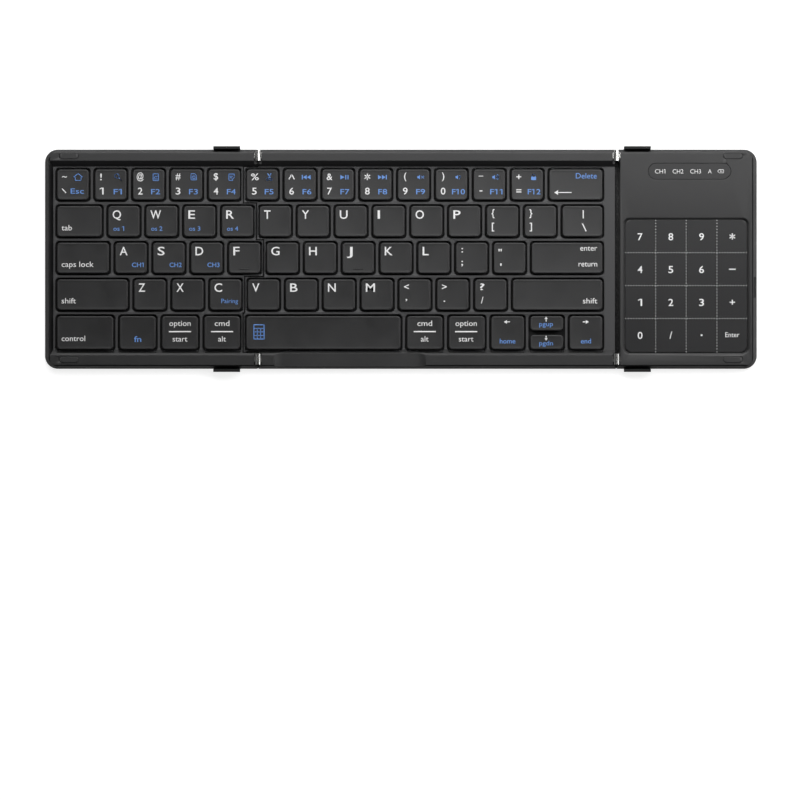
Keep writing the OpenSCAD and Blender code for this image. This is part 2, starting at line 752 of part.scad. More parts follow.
module past_axis() translate([half_gap, -far, -1]) cube([overall, 2 * far, body_top + 2]);

module scoop()
  translate([wall_out - scoop_depth, switch_y, switch_z])
    rotate([0, 90, 0]) linear_extrude(scoop_depth + 3) {
      square([scoop_h, scoop_l - scoop_h], center = true);
      for (s = [-1, 1]) translate([0, s * (scoop_l - scoop_h) / 2]) circle(scoop_h / 2);
    }

// Way out for the charging socket
module usb_cut()
  translate([right_end_in - 1, usb_y - usb_w / 2 - trim_gap, board_z - usb_h - trim_gap])
    cube([right_len, usb_w + 2 * trim_gap, usb_h + trim_gap]);

// Slot in the side wall for the switch nub, toward the front by its travel
module switch_slot()
  translate([right_end_in - 1, switch_y - switch_travel - nub_l / 2 - trim_gap,
             switch_z - nub_h / 2 - trim_gap])
    cube([side_wall + 2, nub_l + switch_travel + 2 * trim_gap, nub_h + 2 * trim_gap]);

module right_top_shell() color(abs_grey) on_right() difference() {
  intersection() {
    union() {
      wing_crown(wall_out, parting_z, body_top);
      wing_slab(right_len - tray_wall - rabbet_play, half_depth - tray_wall - rabbet_play,
                corner_r - tray_wall, floor_z, parting_z + rabbet_lap);
    }
    past_axis();
  }
  right_end_cut(0, body_top + 1);
  right_hollow(floor_z - 1, roof_z);
  barrel_notches();
  leaf_pockets();
  pad_room();
  translate([pad_mid[0], pad_mid[1], roof_z - 1]) linear_extrude(3)
    square([pad_w - 2 * pad_ledge, pad_d - 2 * pad_ledge], center = true);
  translate([window_mid[0], window_mid[1], body_top - window_sink - window_t])
    pill(window_l + 2 * trim_gap, window_d + 2 * trim_gap, 2);
  bumper_places(right_len) pill(bumper_l + 2 * seat, bumper_w + 2 * seat, 2);
  magnet_places(right_len - magnet_end, 1) magnet_hole();
  scoop();
  usb_cut();
  switch_slot();
}

// Bevels along the tops of the centre shell's front and rear walls
module side_bevels(x0, x1)
  translate([x0, 0, 0]) rotate([90, 0, 90]) linear_extrude(x1 - x0)
    for (s = [-1, 1])
      polygon([[s * crown_half, parting_z], [s * (half_depth + 1), parting_z - side_step - 1],
               [s * (half_depth + 1), parting_z + 1], [s * crown_half, parting_z + 1]]);

// Outline of a wing's upper shell at the parting line, widening below it
module tray_flare(len) {
  h = parting_z;
  r = corner_r - side_step;
  x = len - end_step;
  for (sy = [-1, 1]) translate([x - r, sy * (crown_half - r), 0]) cylinder(r1 = r + h, r2 = r, h = h);
  translate([-half_depth, 0, 0]) rotate([90, 0, 90]) linear_extrude(half_depth + x - r)
    polygon([[-crown_half - h, 0], [crown_half + h, 0], [crown_half, h], [-crown_half, h]]);
  translate([0, crown_half - r, 0]) rotate([90, 0, 0]) linear_extrude(2 * (crown_half - r))
    polygon([[-half_depth, 0], [x + h, 0], [x, h], [-half_depth, h]]);
}

module wing_tray(len) difference() {
  intersection() {
    wing_slab(len, half_depth, corner_r, shell_z, parting_z);
    tray_flare(len);
  }
  wing_slab(len - tray_wall, half_depth - tray_wall, corner_r - tray_wall, floor_z, parting_z + 1);
}

module left_bottom_shell() color(under_grey) intersection() {
  on_left() wing_tray(left_len);
  wing_side(half_gap);
  translate([-overall, -far, 0]) cube([overall + left_axis - half_gap, 2 * far, body_top]);
}

module centre_bottom_shell() color(under_grey) difference() {
  intersection() {
    centre_block(leather_t, parting_z, 0);
    centre_side(half_gap);
  }
  centre_block(floor_z, parting_z + 1, tray_wall);
  side_bevels(left_axis - far, right_axis + 1);
  centre_end_cut(0, body_top);
}

module right_bottom_shell() color(under_grey) on_right() difference() {
  intersection() {
    wing_tray(right_len);
    past_axis();
  }
  right_end_cut(0, body_top);
  usb_cut();
}

module left_key_plate() color(steel) left_hollow(floor_z, plate_z, 0.1);
module centre_key_plate() color(steel) centre_hollow(floor_z, plate_z, 0.1);
module left_contact_film() color("#d9dde2") left_hollow(plate_z, film_z, 0.3);
module centre_contact_film() color("#d9dde2") centre_hollow(plate_z, film_z, 0.3);
module left_domes() color("#e8e8e4") domes(row_starts, left_keys);
module centre_domes() color("#e8e8e4") domes(left_keys, row_ends);

module key_grave() caps(0, 0, 0);
module keys_one_to_four() caps(0, 1, 4);
module keys_five_to_equals() caps(0, 5, 12);
module key_backspace() caps(0, 13, 13);
module key_tab() caps(1, 0, 0);
module keys_q_to_r() caps(1, 1, 4);
module keys_t_to_bracket() caps(1, 5, 12);
module key_backslash() caps(1, 13, 13);
module key_caps_lock() caps(2, 0, 0);
module keys_a_to_f() caps(2, 1, 4);
module keys_g_to_quote() caps(2, 5, 11);
module key_enter() caps(2, 12, 12);
module key_shift_left() caps(3, 0, 0);
module keys_z_to_c() caps(3, 1, 3);
module keys_v_to_slash() caps(3, 4, 10);
module key_shift_right() caps(3, 11, 11);
module keys_left_modifiers() caps(4, 0, 3);
module key_space() caps(4, 4, 4);
module keys_right_modifiers() caps(4, 5, 6);
module key_arrow_left() caps(4, 7, 7);
module key_arrow_up() arrow_cap(0);
module key_arrow_down() arrow_cap(1);
module key_arrow_right() caps(4, 9, 9);

module centre_hinge_leaves() color(steel)
  for (y = [rear_bar_y, front_bar_y]) {
    on_left() mirror([1, 0, 0]) hinge_leaf(y, false, pin_play / 2);
    on_right() mirror([1, 0, 0]) hinge_leaf(y, false, pin_play / 2);
  }
module left_hinge_leaves() color(steel)
  for (y = [rear_bar_y, front_bar_y]) on_left() hinge_leaf(y, true, pin_play);
module right_hinge_leaves() color(steel)
  for (y = [rear_bar_y, front_bar_y]) on_right() hinge_leaf(y, true, pin_play);
module hinge_pins() color(steel)
  for (x = [left_axis, right_axis], y = [rear_bar_y, front_bar_y])
    translate([x, y + barrel_l / 2, axis_z]) rotate([90, 0, 0]) cylinder(r = pin_r, h = barrel_l);

// Strip of leather or board between two places, at a height
module strip(u0, u1, half, z0, z1) translate([u0, -half, z0]) cube([u1 - u0, 2 * half, z1 - z0]);

// Flat back piece with its outer corners rounded
module back_sheet(u0, u1, half, z0, z1) intersection() {
  wing_slab(u1, half, corner_r - leather_inset, z0, z1);
  strip(u0, u1 + 1, half + 1, z0, z1);
}

module centre_leather() color(leather_black)
  translate([left_axis - left_spine_u + spine_lead + leather_gap, -leather_half, 0])
    cube([centre_len + left_spine_u + right_spine_u - 2 * (spine_lead + leather_gap),
          2 * leather_half, leather_t]);

// Stiff plate of a spine, with an ear standing up at each end
module spine_plate(start) {
  strip(start, start + spine_l, half_depth + ear_gap + ear_t, leather_t, leather_t + board_t);
  for (s = [-1, 1])
    translate([start, s > 0 ? half_depth + ear_gap : -half_depth - ear_gap - ear_t, leather_t])
      cube([spine_l, ear_t, body_top - leather_t]);
}

module spine_leather(start)
  strip(start - spine_lead, start + spine_l + spine_lap, leather_half, 0, leather_t);

module left_spine_plate() color(under_grey) on_left() spine_plate(left_spine_u);
module right_spine_plate() color(under_grey) on_right() spine_plate(right_spine_u);
module left_spine_leather() color(leather_black) on_left() spine_leather(left_spine_u);
module right_spine_leather() color(leather_black) on_right() spine_leather(right_spine_u);

module left_cover_board() color("#4b4238") on_left()
  back_sheet(cover_u(left_spine_u) + left_limp_w, left_len - cover_margin - board_margin,
             leather_half - board_margin, leather_t, leather_t + board_t);
module right_cover_board() color("#4b4238") on_right()
  back_sheet(cover_u(right_spine_u) + right_limp_w, right_len - cover_margin - board_margin,
             leather_half - board_margin, leather_t, leather_t + board_t);
module left_cover_leather() color(leather_black) on_left()
  back_sheet(cover_u(left_spine_u), left_len - cover_margin, leather_half, 0, leather_t);
module right_cover_leather() color(leather_black) on_right()
  back_sheet(cover_u(right_spine_u), right_len - cover_margin, leather_half, 0, leather_t);

module touchpad() color("#414141") on_right()
  translate([pad_mid[0], pad_mid[1], body_top - pad_sink - pad_t])
    linear_extrude(pad_t) round_rect(pad_w, pad_d, pad_r);

module indicator_window() color("#353535") on_right()
  translate([window_mid[0], window_mid[1], body_top - window_sink - window_t])
    pill(window_l, window_d, window_t);

// Chips below the board: place out from the axis, place along Y, two sides and height
chips = [[24, 22, 7, 7, 1.0], [12, 25, 4, 4, 0.9], [40, 30, 3, 2, 0.7]];
board_gap = 0.4;

// Circuit board under the roof, with its chips below it
module main_board() color("#1f5a3a") on_right() {
  translate([right_in_u + board_gap, -right_half_in + board_gap, board_z])
    cube([right_end_in - right_in_u - 2 * board_gap, 2 * (right_half_in - board_gap), pcb_t]);
  for (c = chips)
    translate([c[0], c[1], board_z - c[4]]) cube([c[2], c[3], c[4]]);
}

battery_gap = 1;

module battery() color("#8f9499") on_right()
  translate([right_in_u + battery_gap, -right_half_in + battery_gap, floor_z])
    cube([battery_l, battery_d, battery_t]);

// Tongue in the middle of the charging socket
tongue_w = 6.6;
tongue_t = 0.7;

// Metal shell of the charging socket, with its tongue
module charging_socket() color(steel) on_right()
  translate([wall_out - board_gap - usb_l, usb_y, board_z - usb_h / 2]) rotate([90, 0, 90]) {
    difference() {
      pill(usb_w, usb_h, usb_l);
      translate([0, 0, usb_back]) pill(usb_w - 2 * usb_wall, usb_h - 2 * usb_wall, usb_l);
    }
    translate([-tongue_w / 2, -tongue_t / 2, usb_back / 2]) cube([tongue_w, tongue_t, usb_l - usb_back]);
  }

// Flange of the switch, behind the wall: how far it stands out around the nub, and its thickness
flange = 0.8;
flange_t = 0.6;
// Distance of the nub's face inside the wall's
nub_back = 0.2;

// Sliding switch: a nub through the wall and a flange behind it
module power_switch() color("#222222") on_right() translate([right_end_in - seat, switch_y, switch_z]) {
  translate([-flange_t / 2, -nub_l / 2, -nub_h / 2])
    cube([side_wall + flange_t / 2 - nub_back, nub_l, nub_h]);
  translate([-flange_t, -nub_l / 2 - flange, -nub_h / 2 - trim_gap])
    cube([flange_t, nub_l + 2 * flange, nub_h + 2 * trim_gap]);
}

module left_bumpers() color("#1c1c1c") on_left()
  bumper_places(left_len) pill(bumper_l, bumper_w, bumper_seat + bumper_proud);
module right_bumpers() color("#1c1c1c") on_right()
  bumper_places(right_len) pill(bumper_l, bumper_w, bumper_seat + bumper_proud);

module magnet() cube([magnet_l, magnet_w, magnet_t]);
module left_magnets() color(steel) on_left() magnet_places(left_len - magnet_end, 1) magnet();
module centre_magnets() color(steel) {
  on_left() magnet_places(left_len - magnet_end, -1) magnet();
  on_right() magnet_places(right_len - magnet_end, -1) magnet();
}
module right_magnets() color(steel) on_right() magnet_places(right_len - magnet_end, 1) magnet();

// Width, thickness and lengths of the flat cables, and the distance of the left one from its axis
cable_w = 5;
cable_t = 0.2;
left_cable_l = 22;
right_cable_l = 6;
left_cable_in = 8;
// Distance of the right cable from the end of the hollow
right_cable_in = 2;

// Flat cables on the film, at the two ends of the centre section
module flex_cables() color("#b5651d") {
  translate([left_axis + left_cable_in, seam_ys[2] - cable_w / 2, film_z])
    cube([left_cable_l, cable_w, cable_t]);
  translate([centre_in_x - right_cable_in - right_cable_l, seam_ys[2] - cable_w / 2, film_z])
    cube([right_cable_l, cable_w, cable_t]);
}

left_top_shell();
centre_top_shell();
right_top_shell();
left_bottom_shell();
centre_bottom_shell();
right_bottom_shell();
left_key_plate();
centre_key_plate();
left_contact_film();
centre_contact_film();
left_domes();
centre_domes();
key_grave();
keys_one_to_four();
keys_five_to_equals();
key_backspace();
key_tab();
keys_q_to_r();
keys_t_to_bracket();
key_backslash();
key_caps_lock();
keys_a_to_f();
keys_g_to_quote();
key_enter();
key_shift_left();
keys_z_to_c();
keys_v_to_slash();
key_shift_right();
keys_left_modifiers();
key_space();
keys_right_modifiers();
key_arrow_left();
key_arrow_up();
key_arrow_down();
key_arrow_right();
centre_hinge_leaves();
left_hinge_leaves();
right_hinge_leaves();
hinge_pins();
centre_leather();
left_spine_plate();
left_spine_leather();
right_spine_plate();
right_spine_leather();
left_cover_board();
left_cover_leather();
right_cover_board();
right_cover_leather();
touchpad();
indicator_window();
main_board();
battery();
charging_socket();
power_switch();
left_bumpers();
right_bumpers();
left_magnets();
centre_magnets();
right_magnets();
flex_cables();
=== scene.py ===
import math

import bmesh
import bpy
from mathutils import Matrix, Vector
from mathutils.geometry import delaunay_2d_cdt


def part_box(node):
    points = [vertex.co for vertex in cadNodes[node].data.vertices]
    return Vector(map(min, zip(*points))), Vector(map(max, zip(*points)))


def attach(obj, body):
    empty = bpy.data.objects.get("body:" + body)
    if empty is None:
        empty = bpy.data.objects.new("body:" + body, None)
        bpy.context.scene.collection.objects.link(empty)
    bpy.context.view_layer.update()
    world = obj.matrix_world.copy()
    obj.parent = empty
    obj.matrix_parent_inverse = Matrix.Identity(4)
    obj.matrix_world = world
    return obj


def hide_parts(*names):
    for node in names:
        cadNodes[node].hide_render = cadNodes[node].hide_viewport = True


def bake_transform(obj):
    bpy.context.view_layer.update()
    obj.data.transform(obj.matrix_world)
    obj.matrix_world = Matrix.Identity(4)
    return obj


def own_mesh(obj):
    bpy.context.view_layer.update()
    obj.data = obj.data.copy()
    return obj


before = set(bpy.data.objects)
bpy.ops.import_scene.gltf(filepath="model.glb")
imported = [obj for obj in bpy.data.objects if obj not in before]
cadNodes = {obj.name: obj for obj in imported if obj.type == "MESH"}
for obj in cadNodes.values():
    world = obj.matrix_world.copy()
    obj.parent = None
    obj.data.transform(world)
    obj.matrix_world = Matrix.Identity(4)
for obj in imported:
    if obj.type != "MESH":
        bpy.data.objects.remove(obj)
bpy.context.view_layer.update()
mm = 0.001
print("frame loaded,", len(cadNodes), "nodes")


# Small helpers

def toLinear(hexColour):
    parts = [int(hexColour[i:i + 2], 16) / 255 for i in (1, 3, 5)]
    return [c / 12.92 if c <= 0.04045 else ((c + 0.055) / 1.055) ** 2.4 for c in parts] + [1.0]


# What is given is a node (its first output) or socket to link from, a property of the node, or an input's value
def addNode(tree, kind, given):
    node = tree.nodes.new(kind)
    for key, value in given.items():
        if isinstance(value, (bpy.types.Node, bpy.types.NodeSocket)):
            tree.links.new(getattr(value, "outputs", [value])[0], node.inputs[key])
        elif isinstance(key, str) and hasattr(node, key):
            setattr(node, key, value)
        else:
            node.inputs[key].default_value = value
    return node


def addObject(name, mesh):
    piece = bpy.data.objects.new(name, mesh)
    bpy.context.scene.collection.objects.link(piece)
    return piece


def plainMesh(piece):  # what the modifiers make of it, as a plain mesh
    bpy.context.view_layer.update()
    depsgraph = bpy.context.evaluated_depsgraph_get()
    return bpy.data.meshes.new_from_object(piece.evaluated_get(depsgraph))


def meshFrom(bm, name):
    mesh = bpy.data.meshes.new(name)
    bm.to_mesh(mesh)
    bm.free()
    return mesh


def smoothed(mesh, sharpDegrees=35):
    mesh.polygons.foreach_set("use_smooth", [True] * len(mesh.polygons))
    mesh.set_sharp_from_angle(angle=math.radians(sharpDegrees))
    return mesh


def finishPiece(piece, material, body, replaced=()):
    piece.data.materials.clear()
    piece.data.materials.append(material)
    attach(piece, body)
    if replaced:
        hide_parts(*replaced)
    return piece


def middle(node):
    low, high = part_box(node)
    return (low + high) / 2


def wallsBetween(bm, loops):  # faces from each ring of points to the next
    return [bm.faces.new((a, b, c, d)) for low, high in zip(loops, loops[1:])
            for a, b, c, d in zip(low, low[1:] + low[:1], high[1:] + high[:1], high)]


def closeEnds(bm, loops):
    bm.faces.new(loops[0])
    bm.faces.new(loops[-1][::-1])
    bmesh.ops.recalc_face_normals(bm, faces=bm.faces)


# Materials

def newMaterial(name, look):
    material = bpy.data.materials.new(name)
    material.use_nodes = True
    tree = material.node_tree
    shader = tree.nodes["Principled BSDF"]
    shader.inputs["IOR"].default_value = look.get("ior", 1.5)
    shader.inputs["Metallic"].default_value = look.get("metallic", 0.0)
    place = addNode(tree, "ShaderNodeTexCoord", {}).outputs["Object"]
    return material, tree, shader, place


# A pattern whose features are about sizeMm across has this scale on Object coordinates, which are in metres
def patternScale(sizeMm):
    return 1 / (sizeMm * mm)


def noise(tree, place, sizeMm, detail=2.0, rough=0.5):
    return addNode(tree, "ShaderNodeTexNoise", {
        "Scale": patternScale(sizeMm), "Detail": detail, "Roughness": rough, "Vector": place})


# What the looks share: a colour between two, a roughness between two and a bump, each led by a pattern

def tint(tree, shader, pattern, colours):
    mixed = addNode(tree, "ShaderNodeMix", {
        "data_type": "RGBA", 6: toLinear(colours[0]), 7: toLinear(colours[1]), 0: pattern})
    tree.links.new(mixed.outputs[2], shader.inputs["Base Color"])


def roughen(tree, shader, pattern, low, high, given=(0.3, 0.7)):
    rough = addNode(tree, "ShaderNodeMapRange", {
        "From Min": given[0], "From Max": given[1], "To Min": low, "To Max": high, "Value": pattern})
    tree.links.new(rough.outputs[0], shader.inputs["Roughness"])
    return rough


def emboss(tree, shader, pattern, strength, depthMm):
    bump = addNode(tree, "ShaderNodeBump", {"Strength": strength, "Distance": depthMm * mm, "Height": pattern})
    tree.links.new(bump.outputs[0], shader.inputs["Normal"])


# Two close colours in soft patches, a roughness that wanders, and a fine grain as bump (size, strength and depth)
def grainedMaterial(name, look):
    material, tree, shader, place = newMaterial(name, look)
    patches = noise(tree, place, look["patchMm"], 3.0)
    tint(tree, shader, patches, look["colours"])
    rough = roughen(tree, shader, patches, *look["roughness"])
    grainMm, strength, depthMm = look["grain"]
    emboss(tree, shader, noise(tree, place, grainMm, rough=0.6), strength, depthMm)
    if "wear" in look:
        worn = addNode(tree, "ShaderNodeAttribute", {"attribute_name": "polish"})
        smoother = addNode(tree, "ShaderNodeMath", {"operation": "MULTIPLY", 1: look["wear"], 0: worn.outputs["Fac"]})
        result = addNode(tree, "ShaderNodeMath", {"operation": "SUBTRACT", 0: rough, 1: smoother})
        tree.links.new(result.outputs[0], shader.inputs["Roughness"])
    if "milky" in look:
        shader.inputs["Subsurface Weight"].default_value = look["milky"]
        shader.inputs["Subsurface Radius"].default_value = (0.002, 0.002, 0.002)
    return material


# Matt injection-moulded ABS with a fine spark-eroded grain: dark grey, soft broad highlights.
# The real grain is about 0.1 mm, drawn 0.5 mm coarse so that it shows.
shellAbs = grainedMaterial("mouldedAbsShell", {
    "colours": ("#19191a", "#1c1c1d"), "patchMm": 14, "roughness": (0.42, 0.5), "ior": 1.54,
    "grain": (0.5, 0.25, 0.02)})

# The deck between the keys has a coarser grain, and is painted paler than the caps as painted light
deckAbsPaintedLight = grainedMaterial("mouldedAbsDeck", {
    "colours": ("#343435", "#38383a"), "patchMm": 14, "roughness": (0.46, 0.55), "ior": 1.54,
    "grain": (0.5, 0.35, 0.03)})

# The outer walls are the same ABS painted darker and given little shine, as painted shade that keeps the outline dark
wallAbsPaintedShade = grainedMaterial("mouldedAbsWall", {
    "colours": ("#0d0d0e", "#101011"), "patchMm": 14, "roughness": (0.55, 0.65), "ior": 1.25,
    "grain": (0.5, 0.35, 0.03)})

# The lower shells are the same ABS painted a darker shade, as painted shade on the outer edges, with a coarser grain
underAbs = grainedMaterial("mouldedAbsUnderside", {
    "colours": ("#121213", "#151516"), "patchMm": 16, "roughness": (0.5, 0.62), "ior": 1.54,
    "grain": (0.8, 0.35, 0.03)})

# Key caps: ABS with a finer grain, worn a little smoother in the middle of each cap where fingers land
capAbs = grainedMaterial("mouldedAbsKeyCap", {
    "colours": ("#19191a", "#1c1c1d"), "patchMm": 9, "roughness": (0.42, 0.5), "ior": 1.54,
    "grain": (0.4, 0.18, 0.015), "wear": 0.07})

# Pad-printed ink under a clear coat: flat colour with a slightly uneven film
inkLook = {"patchMm": 2, "roughness": (0.4, 0.5), "grain": (0.3, 0.1, 0.01)}
whiteInk = grainedMaterial("padPrintWhite", {**inkLook, "colours": ("#f4f4f4", "#e6e6e6")})
blueInk = grainedMaterial("padPrintBlue", {**inkLook, "colours": ("#6796dd", "#5b8ad0")})
greyInk = grainedMaterial("screenPrintGrey", {
    **inkLook, "colours": ("#b4b4b4", "#aaaaaa"), "roughness": (0.45, 0.55)})

# Hard-coated PET film over the touch sensor: smoother than the shell, with a faint satin grain
touchFilm = grainedMaterial("hardCoatedTouchFilm", {
    "colours": ("#18181a", "#1b1b1c"), "patchMm": 30, "roughness": (0.36, 0.42), "ior": 1.44,
    "grain": (0.6, 0.1, 0.01)})

# Smoked polycarbonate flush with the wing: dark and glossier than the ABS round it
smokedWindow = grainedMaterial("smokedPolycarbonate", {
    "colours": ("#18181a", "#1b1b1c"), "patchMm": 20, "roughness": (0.38, 0.44), "grain": (1.0, 0.05, 0.01)})

# Spine plates and ears: glass-filled nylon, black, with a streaky flow of fibres
spineNylon = grainedMaterial("glassFilledNylon", {
    "colours": ("#0c0c0d", "#121213"), "patchMm": 5, "roughness": (0.5, 0.62), "ior": 1.35,
    "grain": (0.6, 0.3, 0.02)})

# The switch's nub: the shells' ABS in a lighter shade, rubbed by thumbs
switchAbs = grainedMaterial("mouldedAbsSwitch", {
    "colours": ("#2a2a2b", "#303031"), "patchMm": 3, "roughness": (0.4, 0.5), "ior": 1.54,
    "grain": (0.4, 0.2, 0.015)})

# Bumpers: moulded thermoplastic rubber, black and dull
bumperRubber = grainedMaterial("mouldedRubberBumper", {
    "colours": ("#202021", "#242425"), "patchMm": 2.5, "roughness": (0.46, 0.56), "ior": 1.52,
    "grain": (0.5, 0.3, 0.02)})

# Domes: translucent silicone sheet, milky with a waxy shine
domeSilicone = grainedMaterial("mouldedSiliconeDome", {
    "colours": ("#d8d8d2", "#e6e6e0"), "patchMm": 4, "roughness": (0.35, 0.45), "ior": 1.43,
    "grain": (0.8, 0.1, 0.02), "milky": 0.3})

# Grey board inside the covers: pressed fibres, matt
coverBoard = grainedMaterial("pressedFibreBoard", {
    "colours": ("#4b4238", "#5d5347"), "patchMm": 1.5, "roughness": (0.75, 0.9), "ior": 1.47,
    "grain": (0.5, 0.6, 0.05)})

# Battery pouch: aluminium foil laminated under nylon, wrinkled
cellFoil = grainedMaterial("laminatedCellFoil", {
    "colours": ("#9a9da1", "#b4b7ba"), "patchMm": 8, "roughness": (0.28, 0.4), "metallic": 0.8,
    "grain": (5, 0.4, 0.15)})

# Magnets: nickel plate, bright with a warm cast
nickelPlate = grainedMaterial("nickelPlatedMagnet", {
    "colours": ("#bdb9ae", "#c8c4ba"), "patchMm": 3, "roughness": (0.22, 0.3), "metallic": 1.0,
    "grain": (0.8, 0.1, 0.01)})


# Drawn or turned steel: fine lines that run one way, so the highlight stretches across them
def linedMetal(name, look):
    material, tree, shader, place = newMaterial(name, {"metallic": 1.0})
    stretched = addNode(tree, "ShaderNodeMapping", {"Scale": look["stretch"], "Vector": place})
    lines = noise(tree, stretched, look["lineMm"], 4.0)
    roughen(tree, shader, lines, *look["roughness"])
    tint(tree, shader, lines, look["colours"])
    emboss(tree, shader, lines, look["strength"], 0.01)
    return material


# Hinge barrels and pins: turned and polished stainless steel, lines round the axis
hingeSteel = linedMetal("turnedStainlessSteel", {
    "colours": ("#d2d2d0", "#e0e0de"), "stretch": (0.15, 1.0, 0.15), "lineMm": 0.25,
    "roughness": (0.16, 0.24), "strength": 0.05})
# Plates under the keys: cold-rolled steel, dull, rolling lines from left to right
plateSteel = linedMetal("coldRolledSteel", {
    "colours": ("#8e9092", "#a2a4a6"), "stretch": (0.08, 1.0, 1.0), "lineMm": 0.6,
    "roughness": (0.32, 0.45), "strength": 0.2})
# Socket: folded tin-plated steel, lines along its length
socketSteel = linedMetal("tinPlatedSteel", {
    "colours": ("#b9bbbd", "#c9cbcd"), "stretch": (0.1, 1.0, 1.0), "lineMm": 0.4,
    "roughness": (0.25, 0.35), "strength": 0.15})


# Flexible printed circuits, the contact film and the board: a smooth base with printed tracks
def trackedFilm(name, look):
    material, tree, shader, place = newMaterial(name, look)
    base = toLinear(look["base"])
    tracks = addNode(tree, "ShaderNodeTexBrick", {
        "Scale": patternScale(look["trackMm"]), "Mortar Size": 0.06, "Row Height": 0.5, "Brick Width": look["run"],
        "Color1": base, "Color2": base, "Mortar": toLinear(look["track"]), "Vector": place})
    tree.links.new(tracks.outputs["Color"], shader.inputs["Base Color"])
    emboss(tree, shader, tracks.outputs["Fac"], 0.3, 0.03)
    shader.inputs["Roughness"].default_value = look["roughness"]
    return material


# The contact film is black, set near black so that it also stands in for the shade in the gaps round the caps (painted
# shade)
contactFilm = trackedFilm("printedContactFilm", {
    "base": "#0b0b0c", "track": "#18181a", "trackMm": 3, "run": 2.5, "roughness": 0.75, "ior": 1.57})
flexFilm = trackedFilm("copperFlexFilm", {
    "base": "#0d0b0a", "track": "#1a1512", "trackMm": 1.2, "run": 8, "roughness": 0.5, "ior": 1.6})
boardLaminate = trackedFilm("glassEpoxyBoard", {
    "base": "#124a2c", "track": "#2b7a4b", "trackMm": 2, "run": 3, "roughness": 0.4, "ior": 1.55})


# Embossed polyurethane leather: dark, with rounded pebbles and finer wrinkles between.
# Each pebble stands up a little and shines, and the valleys stay dull and are painted darker, as painted shade in the
# creases.
def leatherMaterial(look):
    material, tree, shader, place = newMaterial("embossedPuLeather", look)
    wander = noise(tree, place, look["wanderMm"])
    bent = addNode(tree, "ShaderNodeVectorMath", {
        "operation": "SCALE", "Scale": look["bendMm"] * mm, 0: wander.outputs["Color"]})
    moved = addNode(tree, "ShaderNodeVectorMath", {"operation": "ADD", 0: place, 1: bent})
    pebbles = addNode(tree, "ShaderNodeTexVoronoi", {
        "feature": "DISTANCE_TO_EDGE", "Scale": patternScale(look["pebbleMm"]), "Vector": moved})
    rounded = addNode(tree, "ShaderNodeMapRange", {
        "interpolation_type": "SMOOTHSTEP", "From Min": 0.0, "From Max": 0.28, "Value": pebbles.outputs["Distance"]})
    wrinkles = noise(tree, place, look["wrinkleMm"], 3.0)
    height = addNode(tree, "ShaderNodeMath", {
        "operation": "MULTIPLY_ADD", 1: 0.25, 0: wrinkles, 2: rounded})
    emboss(tree, shader, height, look["strength"], look["depthMm"])
    # the colour is darker towards the valleys between pebbles: painted shade
    tint(tree, shader, rounded, look["colours"])
    roughen(tree, shader, rounded, *look["roughness"], given=(0.0, 1.0))
    shader.inputs["Sheen Weight"].default_value = 0.08
    return material


backLeather = leatherMaterial({
    "pebbleMm": 1.1, "wrinkleMm": 0.35, "wanderMm": 2.2, "bendMm": 0.6, "depthMm": 0.12, "strength": 0.7,
    "colours": ("#161617", "#272728"), "roughness": (0.62, 0.42)})
print("materials ready")


# Geometry Nodes: building a tree and running it on an object

def newGeometryTree(name, inputs):
    tree = bpy.data.node_groups.new(name, "GeometryNodeTree")
    for label, kind in {"Geometry": "Geometry", **inputs, "Material": "Material"}.items():
        tree.interface.new_socket(label, in_out="INPUT", socket_type="NodeSocket" + kind)
    tree.interface.new_socket("Geometry", in_out="OUTPUT", socket_type="NodeSocketGeometry")
    return tree, tree.nodes.new("NodeGroupInput").outputs


def closeTree(tree, given, made):  # the result is real faces in the material that was given
    real = addNode(tree, "GeometryNodeRealizeInstances", {"Geometry": made})
    coloured = addNode(tree, "GeometryNodeSetMaterial", {"Geometry": real, "Material": given["Material"]})
    addNode(tree, "NodeGroupOutput", {0: coloured})
    return tree


def runGeometryTree(piece, tree, values):
    modifier = piece.modifiers.new(tree.name, "NODES")
    modifier.node_group = tree
    for item in tree.interface.items_tree:
        if item.item_type == "SOCKET" and item.in_out == "INPUT" and item.name in values:
            modifier[item.identifier] = values[item.name]
    made = plainMesh(piece)
    piece.modifiers.clear()
    piece.data = made
    return piece


# Copies the template cap to each point, then pushes its four corners out to that key's size
def buildCapTree():
    tree, given = newGeometryTree("keyCaps", {"Cap": "Object", "Corner Radius": "Float"})
    cap = addNode(tree, "GeometryNodeObjectInfo", {"Object": given["Cap"]})
    copies = addNode(tree, "GeometryNodeInstanceOnPoints", {
        "Points": given["Geometry"], "Instance": cap.outputs["Geometry"]})
    real = addNode(tree, "GeometryNodeRealizeInstances", {"Geometry": copies})
    side, half = [addNode(tree, "GeometryNodeInputNamedAttribute", {"data_type": "FLOAT_VECTOR", "Name": name})
                  for name in ("side", "half")]
    radius = addNode(tree, "ShaderNodeCombineXYZ", {"X": given["Corner Radius"], "Y": given["Corner Radius"]})
    reach = addNode(tree, "ShaderNodeVectorMath", {"operation": "SUBTRACT", 0: half, 1: radius})
    push = addNode(tree, "ShaderNodeVectorMath", {"operation": "MULTIPLY", 0: side, 1: reach})
    placed = addNode(tree, "GeometryNodeSetPosition", {"Geometry": real, "Offset": push})
    return closeTree(tree, given, placed)


# Turns a drawing of edges into flat printed strokes
def buildStrokeTree():
    tree, given = newGeometryTree("printedStrokes", {"Width": "Float", "Thickness": "Float"})
    curve = addNode(tree, "GeometryNodeMeshToCurve", {"Mesh": given["Geometry"]})
    upright = addNode(tree, "GeometryNodeSetCurveNormal", {"mode": "Z_UP", "Curve": curve})
    section = addNode(tree, "GeometryNodeCurvePrimitiveQuadrilateral", {
        "Width": given["Width"], "Height": given["Thickness"]})
    strokes = addNode(tree, "GeometryNodeCurveToMesh", {
        "Fill Caps": True, "Curve": upright, "Profile Curve": section})
    return closeTree(tree, given, strokes)


